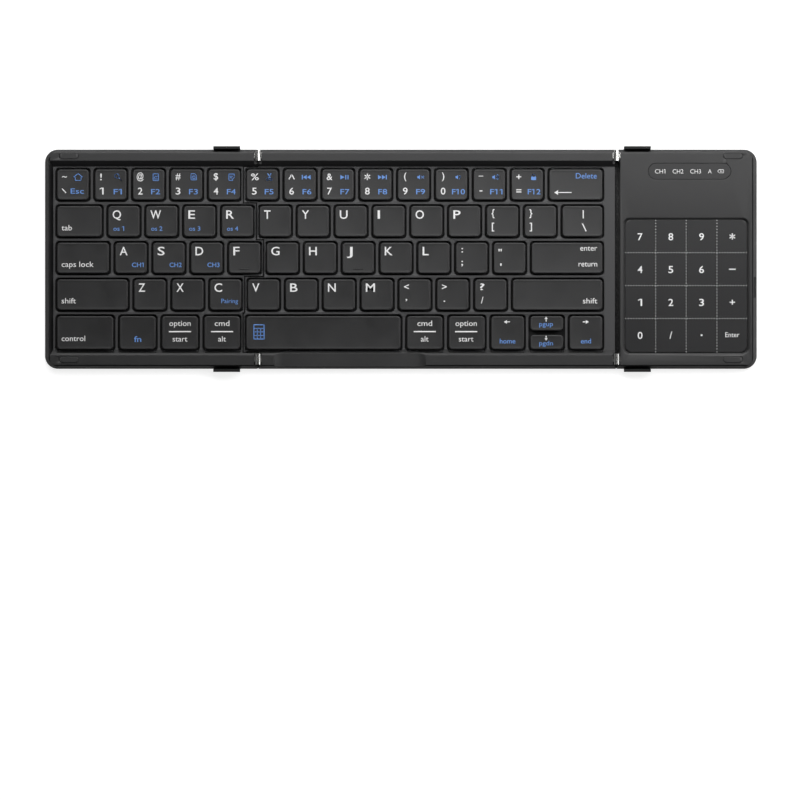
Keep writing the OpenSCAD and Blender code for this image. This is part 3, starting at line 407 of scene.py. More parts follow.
# Sets a small disc at even steps along each edge of a drawing
def buildDotTree():
    tree, given = newGeometryTree("printedDots", {"Step": "Float", "Radius": "Float", "Thickness": "Float"})
    curve = addNode(tree, "GeometryNodeMeshToCurve", {"Mesh": given["Geometry"]})
    points = addNode(tree, "GeometryNodeCurveToPoints", {
        "mode": "LENGTH", "Curve": curve, "Length": given["Step"]})
    disc = addNode(tree, "GeometryNodeMeshCylinder", {
        "Vertices": 10, "Radius": given["Radius"], "Depth": given["Thickness"]})
    copies = addNode(tree, "GeometryNodeInstanceOnPoints", {
        "Points": points.outputs["Points"], "Instance": disc.outputs["Mesh"]})
    return closeTree(tree, given, copies)


capTree, strokeTree, dotTree = buildCapTree(), buildStrokeTree(), buildDotTree()


# Shells, hinge leaves, spine plates and trim: the CAD shapes with their sharp edges eased, as a mould leaves them

easing = {"merge": 0.002, "flatDegrees": 0.5, "easedDegrees": 40, "segments": 2, "corners": 6, "normalWeight": 90}


insideWithHoles = 2  # the kind of tiling that leaves holes open


# Wide faces with many corners are cut into triangles that leave their openings free
def retiled(mesh):
    bm = bmesh.new()
    bm.from_mesh(mesh)
    wide = [face for face in bm.faces if len(face.verts) > easing["corners"]]
    for face in wide:
        turn = face.normal.rotation_difference(Vector((0, 0, 1)))
        verts = list(face.verts)
        level = [turn @ vert.co / mm for vert in verts]
        height = sum(point.z for point in level) / len(level)
        points, _, tiles, origins, _, _ = delaunay_2d_cdt(
            [point.to_2d() for point in level], [], [list(range(len(level)))], insideWithHoles, 1e-5)
        placed = [verts[origin[0]] if origin else bm.verts.new(turn.inverted() @ Vector((*point, height)) * mm)
                  for point, origin in zip(points, origins)]
        for tile in tiles:
            corner = [placed[i] for i in tile]
            if len(set(corner)) == 3 and not bm.faces.get(corner):
                bm.faces.new(corner, face)
    bmesh.ops.delete(bm, geom=wide, context="FACES_ONLY")
    bm.to_mesh(mesh)
    bm.free()
    return mesh


def easedCopy(node, pieceName, body, material, width):
    bm = bmesh.new()
    bm.from_mesh(cadNodes[node].data)
    bmesh.ops.remove_doubles(bm, verts=bm.verts, dist=easing["merge"] * mm)
    bmesh.ops.dissolve_limit(bm, angle_limit=math.radians(easing["flatDegrees"]), verts=bm.verts, edges=bm.edges)
    piece = addObject(pieceName, meshFrom(bm, pieceName))
    if width:
        ease = piece.modifiers.new("easedEdges", "BEVEL")
        ease.width, ease.segments, ease.limit_method = width * mm, easing["segments"], "ANGLE"
        ease.angle_limit = math.radians(easing["easedDegrees"])
        ease.use_clamp_overlap, ease.miter_outer, ease.face_strength_mode = False, "MITER_SHARP", "FSTR_ALL"
    piece.data = smoothed(retiled(plainMesh(piece)))
    piece.modifiers.clear()
    flats = piece.modifiers.new("flatFaces", "WEIGHTED_NORMAL")  # keeps the wide faces flat beside the eased edges
    flats.keep_sharp, flats.weight, flats.use_face_influence = True, easing["normalWeight"], True
    piece.data = plainMesh(piece)
    piece.modifiers.clear()
    return finishPiece(piece, material, body, [node])


for sides, nodeEnding, nameEnding, material, slotName, width in [
        (("left", "centre", "right"), "_top_shell", "UpperShell", shellAbs, "abs_grey", 0.12),
        (("left", "centre", "right"), "_bottom_shell", "LowerShell", underAbs, "abs_under", 0.12),
        (("left", "right"), "_spine_plate", "Spine", spineNylon, "spine_abs", 0.15),
        (("centre", "left", "right"), "_hinge_leaves", "HingeLeaves", hingeSteel, "hinge_steel", 0)]:
    for side in sides:
        body = side + "_spine" if nameEnding == "Spine" else "centre" if side == "centre" else side + "_wing"
        easedCopy(side + nodeEnding, side + nameEnding, body, material, width)
for node, pieceName, body, material, slotName, width in [
        ("touchpad", "touchPlate", "right_wing", touchFilm, "touchpad_film", 0.15),
        ("indicator_window", "indicatorWindow", "right_wing", smokedWindow, "window_tint", 0.08),
        ("left_bumpers", "leftBumpers", "left_wing", bumperRubber, "bumper_rubber", 0.2),
        ("right_bumpers", "rightBumpers", "right_wing", bumperRubber, "bumper_rubber", 0.2),
        ("power_switch", "powerSwitch", "switch_slider", switchAbs, "switch_abs", 0.12)]:
    easedCopy(node, pieceName, body, material, width)

# The touch plate stands in a dark gap, so its film ends short of the opening on every side
plate = bpy.data.objects["touchPlate"].data
plateMiddle, plateGap = middle("touchpad"), 0.3 * mm
for vertex in plate.vertices:
    vertex.co.x -= math.copysign(plateGap, vertex.co.x - plateMiddle.x)
    vertex.co.y -= math.copysign(plateGap, vertex.co.y - plateMiddle.y)

# On the upper shells the deck takes the paler ABS (painted light) and the outer walls the darker ABS (painted shade)
(left, front, _), (_, rear, high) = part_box("left_top_shell")
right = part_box("right_top_shell")[1].x
edges = {"deckDrop": 2.5 * mm, "near": 2.0 * mm}
for name in ("leftUpperShell", "centreUpperShell", "rightUpperShell"):
    mesh = bpy.data.objects[name].data
    mesh.materials.append(deckAbsPaintedLight)  # 1
    mesh.materials.append(wallAbsPaintedShade)  # 2
    for face in mesh.polygons:
        x, y, z = face.center
        atEdge = x < left + edges["near"] or x > right - edges["near"] or y < front + edges["near"]
        if face.normal.z > 0.95 and abs(z - high + edges["deckDrop"]) < 0.1 * mm:
            face.material_index = 1
        elif face.normal.z < 0.97 and atEdge or face.normal.z < 0.5 and y > rear - edges["near"]:
            face.material_index = 2
print("shells, hinges and trim ready")


# Nodes whose CAD shape stays as it is, mostly inside

for ending, material in [
        ("_key_plate", plateSteel), ("_contact_film", contactFilm), ("hinge_pins", hingeSteel),
        ("_cover_board", coverBoard), ("main_board", boardLaminate), ("battery", cellFoil),
        ("charging_socket", socketSteel), ("_magnets", nickelPlate), ("flex_cables", flexFilm)]:
    for node, piece in cadNodes.items():
        for slot in piece.material_slots if node.endswith(ending) else []:
            slot.material = material


# Key caps

capShape = {"cornerRadius": 1.7, "edgeRadius": 0.32, "edgeSteps": 4, "cornerSteps": 8, "wall": 0.9, "roof": 0.9,
            "dishInset": 1.35, "dishDepth": 0.05, "taper": 0.08, "play": 0.75, "web": 1.2}
keyLow, keyHigh = (corner.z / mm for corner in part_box("key_tab"))
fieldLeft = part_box("key_grave")[0].x / mm - capShape["play"]
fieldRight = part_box("key_enter")[1].x / mm + capShape["play"]
printZ = keyHigh - capShape["dishDepth"]

rowNodes = ["key_grave", "key_tab", "key_caps_lock", "key_shift_left", "key_space"]
rowTop = [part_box(node)[1].y / mm + capShape["play"] for node in rowNodes]
rowDepth = [(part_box(node)[1].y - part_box(node)[0].y) / mm + 2 * capShape["play"] for node in rowNodes]
letter = 15.8
openingWidths = [
    [letter] * 13 + [25.5],
    [21.7] + [letter] * 12 + [0],
    [24.9] + [letter] * 11 + [0],
    [33.4] + [letter] * 10 + [0],
    [26.9, 17.8, 17.8, 17.6, 0, 17.6, 17.8, 16.4, 16.4, 16.4]]
for widths in openingWidths:  # the one key of each row that fills what is left
    if 0 in widths:
        widths[widths.index(0)] = fieldRight - fieldLeft - sum(widths) - capShape["web"] * (len(widths) - 1)


def capBox(row, k):  # left, top, width and depth of a cap, in mm
    left = fieldLeft + sum(openingWidths[row][:k]) + k * capShape["web"]
    play = capShape["play"]
    return left + play, rowTop[row] - play, openingWidths[row][k] - 2 * play, rowDepth[row] - 2 * play


# Legends keep their places by row and column, whatever the play round the caps
printGrid = {"inset": 0.45, "rear": 41.1, "pitch": 16.4}


def printBox(row, k):  # left, top, width and depth of the field a legend is placed in, in mm
    inset = printGrid["inset"]
    left = capBox(row, k)[0] - capShape["play"]
    return (left + inset, printGrid["rear"] - printGrid["pitch"] * row - inset, openingWidths[row][k] - 2 * inset,
            rowDepth[row] - 2 * inset)


keyBanks = {  # node: row, first key, last key
    "key_grave": (0, 0, 0), "keys_one_to_four": (0, 1, 4), "keys_five_to_equals": (0, 5, 12),
    "key_backspace": (0, 13, 13), "key_tab": (1, 0, 0), "keys_q_to_r": (1, 1, 4), "keys_t_to_bracket": (1, 5, 12),
    "key_backslash": (1, 13, 13), "key_caps_lock": (2, 0, 0), "keys_a_to_f": (2, 1, 4),
    "keys_g_to_quote": (2, 5, 11), "key_enter": (2, 12, 12), "key_shift_left": (3, 0, 0),
    "keys_z_to_c": (3, 1, 3), "keys_v_to_slash": (3, 4, 10), "key_shift_right": (3, 11, 11),
    "keys_left_modifiers": (4, 0, 3), "key_space": (4, 4, 4), "keys_right_modifiers": (4, 5, 6),
    "key_arrow_left": (4, 7, 7), "key_arrow_right": (4, 9, 9)}
bankBoxes = {node: [capBox(row, k) for k in range(first, last + 1)]
             for node, (row, first, last) in keyBanks.items()}
for node in ("key_arrow_up", "key_arrow_down"):  # of half height
    low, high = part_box(node)
    bankBoxes[node] = [(low.x / mm, high.y / mm, (high.x - low.x) / mm, (high.y - low.y) / mm)]


# A cap shrunk to its four corners: rings of points from the inside of the hollow, round the skirt and over the top
def templateCap():
    shape = capShape
    radius, edge, taper = shape["cornerRadius"], shape["edgeRadius"], shape["taper"]
    rings = [(shape["wall"], keyHigh - shape["roof"], 0), (shape["wall"], keyLow, 0), (0, keyLow, 0),
             (taper, keyHigh - edge, 0)]  # how far in, how high, how polished
    for step in range(1, shape["edgeSteps"] + 1):
        turn = math.pi / 2 * step / shape["edgeSteps"]
        rings.append((taper + (edge - taper) * (1 - math.cos(turn)), keyHigh - edge + edge * math.sin(turn), 0))
    rings += [(0.75, keyHigh - 0.01, 0.2), (1.05, keyHigh - shape["dishDepth"] * 0.7, 0.6),
              (shape["dishInset"], keyHigh - shape["dishDepth"], 1)]
    bm = bmesh.new()
    sideLayer = bm.verts.layers.float_vector.new("side")
    polishLayer = bm.verts.layers.float.new("polish")
    loops = []
    for inset, z, polish in rings:
        loop = []
        for quarter, (sx, sy) in enumerate([(1, 1), (-1, 1), (-1, -1), (1, -1)]):
            for step in range(shape["cornerSteps"] + 1):
                turn = math.pi / 2 * (quarter + step / shape["cornerSteps"])
                reach = (radius - inset) * mm
                vert = bm.verts.new((reach * math.cos(turn), reach * math.sin(turn), z * mm))
                vert[sideLayer] = (sx, sy, 0)
                vert[polishLayer] = polish
                loop.append(vert)
        loops.append(loop)
    wallsBetween(bm, loops)
    bm.faces.new(loops[-1])
    bm.faces.new(loops[0][::-1])
    return smoothed(meshFrom(bm, "capTemplate"), 50)


template = addObject("capTemplate", templateCap())
for node, boxes in bankBoxes.items():
    points = bpy.data.meshes.new(node)
    points.from_pydata([((x + w / 2) * mm, (y - d / 2) * mm, 0) for x, y, w, d in boxes], [], [])
    half = points.attributes.new("half", "FLOAT_VECTOR", "POINT")
    half.data.foreach_set("vector", [v for x, y, w, d in boxes for v in (w / 2 * mm, d / 2 * mm, 0)])
    caps = runGeometryTree(addObject("caps_" + node, points), capTree, {
        "Cap": template, "Corner Radius": capShape["cornerRadius"] * mm, "Material": capAbs})
    finishPiece(caps, capAbs, node + "_body", [node])
bpy.data.objects.remove(template)
print("key caps ready:", sum(len(boxes) for boxes in bankBoxes.values()))


# Rubber domes: each buckles under its own cap, so they are gathered by key
for node, body in [("left_domes", "left_wing"), ("centre_domes", "centre")]:
    source = bmesh.new()
    source.from_mesh(cadNodes[node].data)
    bmesh.ops.remove_doubles(source, verts=source.verts, dist=0.001 * mm)
    low, high = (corner.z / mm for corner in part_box(node))
    for key, boxes in bankBoxes.items():
        bm = source.copy()
        under = [vert for vert in bm.verts if any(
            x < vert.co.x / mm < x + w and y - d < vert.co.y / mm < y for x, y, w, d in boxes)]
        bmesh.ops.delete(bm, geom=list(set(bm.verts) - set(under)), context="VERTS")
        if not bm.faces:
            continue
        name = "domes_" + key
        domes = finishPiece(addObject(name, smoothed(meshFrom(bm, name))), domeSilicone, body, [node])
        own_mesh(domes)
print("rubber domes ready")


# Printing: words, strokes and filled shapes are collected for each body and ink, and made at the end

inks = {"white": whiteInk, "blue": blueInk, "grey": greyInk}
inkShape = {"thickness": 0.04, "capShare": 0.729, "weight": 0.012, "flag": 0.24}
# Widths of the printed letters in thousandths of the type size, as in a plain bold sans serif
inkWidths = {letter: width for width, letters in {
    240: "'", 260: "!:;.,", 278: "I il", 330: "()[]/", 333: "ft", 380: "-", 389: "r", 390: "{}", 430: '"', 480: "1",
    590: "FL", 600: "#~+=<>", 611: "TZbdghnopu", 640: "E", 667: "PSVXY", 680: "&", 690: "B", 720: "HK",
    722: "ACDNRU", 770: "G", 778: "OQ", 800: "@", 833: "M", 889: "m", 900: "%", 944: "W"}.items()
    for letter in letters}
inkGaps = {"other": 556, "ends": 85, "tight": 55, "capHeight": 0.716, "tightRise": 0.3}
words, drawings, fills = [], {}, {}


def printWords(body, ink, text, x, y, size, align="CENTER", z=printZ, narrow=1.0, weight=1.0):
    tight = len(text) - 1 if len(text) > 2 and text[1:].islower() else 0  # words are set tighter than signs
    width = sum(inkWidths.get(letter, inkGaps["other"]) for letter in text) - inkGaps["ends"]
    width = (width - inkGaps["tight"] * tight) / 1000 * size / inkGaps["capHeight"] * narrow
    words.append((body, ink, text, x, y + (inkGaps["tightRise"] if tight else 0), size, align, z, width, weight))


def printLine(body, ink, points, width, z=printZ):
    drawings.setdefault((body, ink, width, z), []).append(points)


def printFill(body, ink, points, z=printZ):
    fills.setdefault((body, ink, z), []).append(points)


def arc(x, y, radius, start, end, steps=10):
    turns = [math.radians(start + (end - start) * i / steps) for i in range(steps + 1)]
    return [(x + radius * math.cos(turn), y + radius * math.sin(turn)) for turn in turns]


def rectangle(x0, y0, x1, y1):
    return [(x0, y0), (x1, y0), (x1, y1), (x0, y1), (x0, y0)]


def bar(x0, x1, y=1):  # a filled upright bar
    return [(x0, -y), (x1, -y), (x1, y), (x0, y)]


def speaker(x):
    return [(x - 0.9, -0.45), (x - 0.45, -0.45), (x + 0.15, -1.0), (x + 0.15, 1.0), (x - 0.45, 0.45), (x - 0.9, 0.45)]


# The small pictures in mm round their own middle: strokes, then filled shapes
pictures = {
    "house": ([[(-2.0, 0.05), (0, 1.6), (2.0, 0.05), (1.3, 0.05), (1.3, -1.5), (-1.3, -1.5), (-1.3, 0.05),
                (-2.0, 0.05)]], []),
    "lens": ([arc(-0.5, 0.5, 0.95, 0, 360, 18), [(0.2, -0.2), (1.6, -1.6)], [(0.8, -0.8), (1.6, -1.6)]], []),
    "page": ([rectangle(-1.2, -1.5, 1.2, 1.5), [(-0.7, -0.2), (-0.1, 0.5), (0.3, 0.0), (0.7, 0.5)],
              [(-0.7, -0.8), (0.7, -0.8)]], []),
    "copy": ([[(-1.2, -1.2), (-1.2, 1.5), (0.5, 1.5), (1.2, 0.8), (1.2, -1.2), (-1.2, -1.2)],
              rectangle(-0.4, -0.6, 0.6, 0.5)], []),
    "paste": ([[(0.5, -1.5), (-1.2, -1.5), (-1.2, 1.4), (1.2, 1.4), (1.2, 0.6)], [(-0.5, 0.4), (0.4, 0.4)],
               [(1.3, 0.0), (0.1, -1.3)], [(-0.5, -0.3), (0.1, -0.3)]], []),
    "scissors": ([arc(-0.75, -1.0, 0.5, 0, 360, 12), arc(0.75, -1.0, 0.5, 0, 360, 12),
                  [(-0.5, -0.6), (0.7, 1.6)], [(0.5, -0.6), (-0.7, 1.6)]], []),
    "previous": ([], [bar(-1.9, -1.5), [(-1.4, 0), (0.1, -1), (0.1, 1)], [(0.2, 0), (1.7, -1), (1.7, 1)]]),
    "play": ([], [[(-1.6, -1), (0.1, 0), (-1.6, 1)], bar(0.4, 0.8), bar(1.3, 1.7)]),
    "next": ([], [[(-1.7, -1), (-0.2, 0), (-1.7, 1)], [(-0.1, -1), (1.4, 0), (-0.1, 1)], bar(1.5, 1.9)]),
    "mute": ([[(0.6, -0.45), (1.5, 0.45)], [(0.6, 0.45), (1.5, -0.45)]], [speaker(-0.2)]),
    "quieter": ([arc(0.1, 0, 0.9, -50, 50, 6)], [speaker(-0.1)]),
    "louder": ([arc(-0.2, 0, 0.8, -50, 50, 6), arc(-0.2, 0, 1.4, -50, 50, 8)], [speaker(-0.5)]),
    "lock": ([[(-0.6, 0.1)] + arc(0, 0.7, 0.6, 180, 0, 8) + [(0.6, 0.1)]],
             [[(-1.0, -1.3), (1.0, -1.3), (1.0, 0.1), (-1.0, 0.1)]]),
    "^": ([[(-1.15, -0.95), (0, 1.05), (1.15, -0.95)]], []),
    "`": ([[(-0.75, 0.8), (0.75, -0.8)]], []),
    "*": ([[(0, -1.25), (0, 1.25)], [(-1.1, -0.65), (1.1, 0.65)], [(-1.1, 0.65), (1.1, -0.65)]], []),
    "cell": ([[(-1.6, 0), (-0.9, 0.75), (1.1, 0.75), (1.1, -0.75), (-0.9, -0.75), (-1.6, 0)],
              [(-0.3, -0.4), (-0.3, 0.4)], [(0.3, -0.4), (0.3, 0.4)]], [])}


def printPicture(body, ink, name, x, y, width=0.32, z=printZ, stretch=1.0):
    strokes, shapes = pictures[name]
    for points in strokes:
        printLine(body, ink, [(x + px * stretch, y + py) for px, py in points], width, z)
    for points in shapes:
        printFill(body, ink, [(x + px * stretch, y + py) for px, py in points], z)


def printArrow(body, x, y, dx, dy, length, head, z=printZ):  # in white, the tip at x, y, pointing along dx, dy
    neck, wing = (x - dx * head, y - dy * head), head * 0.62
    printLine(body, "white", [(x - dx * length, y - dy * length), (neck[0] + dx * 0.1, neck[1] + dy * 0.1)], 0.4, z)
    printFill(body, "white", [
        (x, y), (neck[0] - dy * wing, neck[1] + dx * wing), (neck[0] + dy * wing, neck[1] - dx * wing)], z)


def bodyAt(row, k):
    return next(node for node, (r, first, last) in keyBanks.items() if r == row and first <= k <= last) + "_body"


legend = {"letter": 3.95, "symbol": 3.1, "digit": 3.2, "word": 2.55, "small": 2.05, "functionKey": 2.45}
word, small = legend["word"], legend["small"]

# The rear row: a sign and a digit at the left, a picture and a function at the right
signShift = {"1": -0.3, "!": -0.6, "%": 0.5, "5": 0.25, "`": -0.2}
rearRow = {"sign": 3.7, "upper": 3.75, "lower": 10.05, "picture": 3.9, "function": 10.35}
for k, (shifted, plain, picture, function) in enumerate([
        ("~", "`", "house", "Esc"), ("!", "1", "lens", "F1"), ("@", "2", "page", "F2"), ("#", "3", "copy", "F3"),
        ("$", "4", "paste", "F4"), ("%", "5", "scissors", "F5"), ("^", "6", "previous", "F6"),
        ("&", "7", "play", "F7"), ("*", "8", "next", "F8"), ("(", "9", "mute", "F9"), (")", "0", "quieter", "F10"),
        ("_", "-", "louder", "F11"), ("+", "=", "lock", "F12")]):
    body = bodyAt(0, k)
    x, y, w, d = printBox(0, k)
    for sign, down, size in ((shifted, rearRow["upper"], legend["symbol"]), (plain, rearRow["lower"], legend["digit"])):
        signX = x + rearRow["sign"] + signShift.get(sign, 0)
        if sign in pictures:
            printPicture(body, "white", sign, signX, y - down, 0.5)
        else:
            printWords(body, "white", sign, signX, y - down, size, weight=0.8)
    pictureX, functionX, narrow = (9.8, 9.45, 1.12) if k == 0 else (10.7 if k < 6 else 10.35, 10.6, 1.1)
    printPicture(body, "blue", picture, x + pictureX, y - rearRow["picture"], stretch=1.0 if k < 6 else 1.1)
    printWords(body, "blue", function, x + functionX, y - rearRow["function"], legend["functionKey"], narrow=narrow,
               weight=0.6)

for row, letters in [(1, "QWERTYUIOP"), (2, "ASDFGHJKL"), (3, "ZXCVBNM")]:
    for k, character in enumerate(letters, 1):
        x, y, w, d = printBox(row, k)
        printWords(bodyAt(row, k), "white", character, x + 2.4, y - 4.15, legend["letter"], "LEFT")

for row, k, upper, lower in [
        (1, 11, "{", "["), (1, 12, "}", "]"), (2, 10, ":", ";"), (2, 11, '"', "'"),
        (3, 8, "<", ","), (3, 9, ">", "."), (3, 10, "?", "/")]:
    x, y, w, d = printBox(row, k)
    x += 3.65 if row == 3 else 3.2
    printWords(bodyAt(row, k), "white", upper, x, y - 3.9, legend["symbol"])
    printWords(bodyAt(row, k), "white", lower, x + (0.35 if lower == "'" else 0), y - (10.4 if lower in "'." else 9.9),
               legend["symbol"])
x, y, w, d = printBox(1, 13)
printLine("key_backslash_body", "white", [(x + 9.7, y - 2.5), (x + 9.7, y - 5.8)], 0.5)
printLine("key_backslash_body", "white", [(x + 9.4, y - 8.4), (x + 10.9, y - 11.6)], 0.5)


# A word on a key, so far across from its left side, from its right side if set to the right, or in its middle
def printKeyWord(row, k, ink, text, across, down, size, align="CENTER", narrow=1.0, weight=1.0):
    x, y, w, d = printBox(row, k)
    x += w / 2 if across is None else w - across if align == "RIGHT" else across
    printWords(bodyAt(row, k), ink, text, x, y - down, size, align, narrow=narrow, weight=weight)


for row, text in enumerate(["tab", "caps lock", "shift", "control"], 1):
    printKeyWord(row, 0, "white", text, 2.4, 10.9 if row == 4 else 10.4, word, "LEFT", weight=0.1)
printKeyWord(4, 1, "blue", "fn", None, 10.9, word * 1.05)
for k, upper, lower, shift in [
        (2, "option", "start", 0), (3, "cmd", "alt", 0), (5, "cmd", "alt", 0), (6, "option", "start", -0.3)]:
    x, y, w, d = printBox(4, k)
    x += w / 2 + shift
    for text, down in ((upper, 4.1), (lower, 11.1)):
        printWords(bodyAt(4, k), "white", text, x, y - down, word, weight=0.1)
    printLine(bodyAt(4, k), "white", [(x - 4.75, y - 7.7), (x + 4.75, y - 7.7)], 0.6)

printKeyWord(2, 12, "white", "enter", 2.7, 3.1, word, "RIGHT", weight=0.1)
printKeyWord(2, 12, "white", "return", 2.7, 10.2, word, "RIGHT", 0.93, 0.1)
printKeyWord(3, 11, "white", "shift", 2.7, 10.4, word, "RIGHT", weight=0.1)
printKeyWord(0, 13, "blue", "Delete", 2.9, 3.5, word, "RIGHT", weight=0.1)
x, y, w, d = printBox(0, 13)
printArrow("key_backspace_body", x + 2.6, y - 10.8, -1, 0, 7.6, 1.7)

for k in (1, 2, 3, 4):
    printKeyWord(1, k, "blue", f"os {k}", 2.75, 10.8, small, "LEFT", weight=0.4)
for k in (1, 2, 3):
    printKeyWord(2, k, "blue", f"CH{k}", 10.5, 10.4, small)
printKeyWord(3, 3, "blue", "Pairing", 9.25, 10.5, small, narrow=0.88, weight=-0.2)

for k, text, way, tip in [(7, "home", -1, -1.65), (9, "end", 1, 1.3)]:
    x, y, w, d = printBox(4, k)
    printArrow(bodyAt(4, k), x + w / 2 + tip, y - 3.3, way, 0, 2.6, 1.35)
    printKeyWord(4, k, "blue", text, None, 12.1, small * 1.1, narrow=0.92)
rimZ = keyHigh  # these low caps are nearly all rim, which stands above the dish
for node, text, up, arrowDown, textDown in [
        ("key_arrow_up", "pgup", 1, 1.28, 3.78), ("key_arrow_down", "pgdn", -1, 1.6, 3.95)]:
    x, y, w, d = bankBoxes[node][0]
    x += w / 2 - 0.3
    printArrow(node + "_body", x, y - arrowDown + up * 1.05, 0, up, 2.1, 1.15, rimZ)
    printWords(node + "_body", "blue", text, x, y - textDown, small * 1.05, z=rimZ, narrow=0.93, weight=0.3)

x, y, w, d = printBox(4, 4)
padX, padY = x + 6.1, y - 7.8  # the small picture of a number pad at the left of the space bar
printLine("key_space_body", "blue", rectangle(padX - 2.3, padY - 3.2, padX + 2.3, padY + 3.2), 0.45)
for down in (1.6, 0.0, -1.6):
    printLine("key_space_body", "blue", [(padX - 2.2, padY + down), (padX + 2.2, padY + down)], 0.32)
for across in (-0.75, 0.75):
    printLine("key_space_body", "blue", [(padX + across, padY - 3.1), (padX + across, padY + 1.6)], 0.32)

# Touchpad figures and dotted grid
padLow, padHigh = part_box("touchpad")
padZ = padHigh.z / mm
padPrint = {"columns": (107.4, 121.2, 135.0, 148.8), "rows": (10.1, -4.6, -19.4, -34.2), "figure": 3.3,
            "gridX": (114.4, 128.1, 141.9), "gridY": (2.9, -11.9, -26.7), "edge": 0.45, "steps": (1.32, 1.2),
            "dotRadius": 0.25}
for rowText, y in zip(["789*", "456-", "123+", "0/. "], padPrint["rows"]):
    for character, x in zip(rowText, padPrint["columns"]):
        if character == ".":
            printFill("right_wing", "white", arc(x, y, 0.45, 0, 330, 11), padZ)
        elif character == "-":
            printLine("right_wing", "white", [(x - 1.3, y), (x + 1.3, y)], 0.5, padZ)
        elif character == "*":
            printPicture("right_wing", "white", "*", x, y, 0.45, padZ)
        elif character != " ":
            printWords("right_wing", "white", character, x, y, padPrint["figure"], z=padZ, weight=0.8)
printWords("right_wing", "white", "Enter", padPrint["columns"][3], padPrint["rows"][3], 2.3, z=padZ, narrow=0.88,
           weight=0.0)

edge = padPrint["edge"]
gridAcross = [((padLow.x / mm + edge, y), (padHigh.x / mm - edge, y)) for y in padPrint["gridY"]]
gridAlong = [((x, padHigh.y / mm - edge), (x, padLow.y / mm + edge)) for x in padPrint["gridX"]]
for name, gridLines, step in zip(("Along", "Across"), (gridAlong, gridAcross), padPrint["steps"]):
    grid = bpy.data.meshes.new("padGrid" + name)
    grid.from_pydata([(x * mm, y * mm, padZ * mm) for line in gridLines for x, y in line],
                     [(2 * i, 2 * i + 1) for i in range(len(gridLines))], [])
    finishPiece(runGeometryTree(addObject("padDots" + name, grid), dotTree, {
        "Step": step * mm, "Radius": padPrint["dotRadius"] * mm, "Thickness": inkShape["thickness"] * mm,
        "Material": greyInk}), greyInk, "right_wing")

# Marks on the indicator window
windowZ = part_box("indicator_window")[1].z / mm
windowY = middle("indicator_window").y / mm
for text, x in [("CH1", 116.4), ("CH2", 124.4), ("CH3", 132.3), ("A", 138.7)]:
    printWords("right_wing", "white", text, x, windowY, 2.0, z=windowZ, narrow=0.9, weight=-0.6)
printPicture("right_wing", "white", "cell", 143.8, windowY, 0.22, windowZ)


def addPrism(bm, points, z):
    half = inkShape["thickness"] / 2
    low, high = [[bm.verts.new((px * mm, py * mm, level * mm)) for px, py in points] for level in (z - half, z + half)]
    faces = [bm.faces.new(high), bm.faces.new(low[::-1])] + wallsBetween(bm, [low, high])
    bmesh.ops.recalc_face_normals(bm, faces=faces)


# The built-in type draws a bare bar for a one, so each gets the flag that a plain sans serif has
def flagOnes(flat, text, size):
    bm = bmesh.new()
    bm.from_mesh(flat)
    glyphs = []  # what lies side by side, from left to right
    for low, high in sorted((min(v.co.x for v in f.verts), max(v.co.x for v in f.verts)) for f in bm.faces):
        if glyphs and low <= glyphs[-1][1]:
            glyphs[-1][1] = max(high, glyphs[-1][1])
        else:
            glyphs.append([low, high])
    letters = [letter for letter in text if letter != " "]
    for (low, high), letter in zip(glyphs, letters if len(glyphs) == len(letters) else []):
        if letter == "1":
            left, width, reach = low / mm, (high - low) / mm, inkShape["flag"] * size
            drop, half = size - reach, width * 0.4
            addPrism(bm, [(left, size), (left, size - width), (left - reach, drop - half),
                          (left - reach, drop + half)], 0)
    return meshFrom(bm, flat.name)


def makeWords():
    made = {}
    for body, ink, text, x, y, size, align, z, width, weight in words:
        curve = bpy.data.curves.new("words", "FONT")
        curve.body, curve.resolution_u = text, 3
        curve.size = size * mm / inkShape["capShare"]
        curve.extrude = inkShape["thickness"] * mm / 2
        curve.offset = inkShape["weight"] * weight * size * mm
        made.setdefault((body, ink), []).append((addObject("words", curve), x, y, z, width, size, text, align))
    bpy.context.view_layer.update()
    depsgraph = bpy.context.evaluated_depsgraph_get()
    meshes = {}
    for key, pieces in made.items():
        joined = bmesh.new()
        for piece, x, y, z, width, size, text, align in pieces:
            flat = bpy.data.meshes.new_from_object(piece.evaluated_get(depsgraph))
            if "1" in text:
                flat = flagOnes(flat, text, size)
            tops = [v.co.y for v in flat.vertices]
            sides = [v.co.x for v in flat.vertices]
            stretch = width * mm / (max(sides) - min(sides))
            start = {"LEFT": 0, "CENTER": -width / 2, "RIGHT": -width}[align] * mm - min(sides) * stretch
            # a letter or word sits on a line under its middle, a lone sign is centred on it
            sign = len(text) == 1 and not text.isalnum()
            drop = (max(tops) + min(tops)) / 2 if sign else size * mm / 2
            if text == "_":
                drop = min(tops) - 0.2 * mm
            flat.transform(Matrix.Translation((x * mm + start, y * mm - drop, z * mm))
                           @ Matrix.Diagonal((stretch, 1, 1, 1)))
            joined.from_mesh(flat)
            bpy.data.objects.remove(piece)
        bmesh.ops.remove_doubles(joined, verts=joined.verts, dist=0.001 * mm)
        meshes[key] = joined
    return meshes


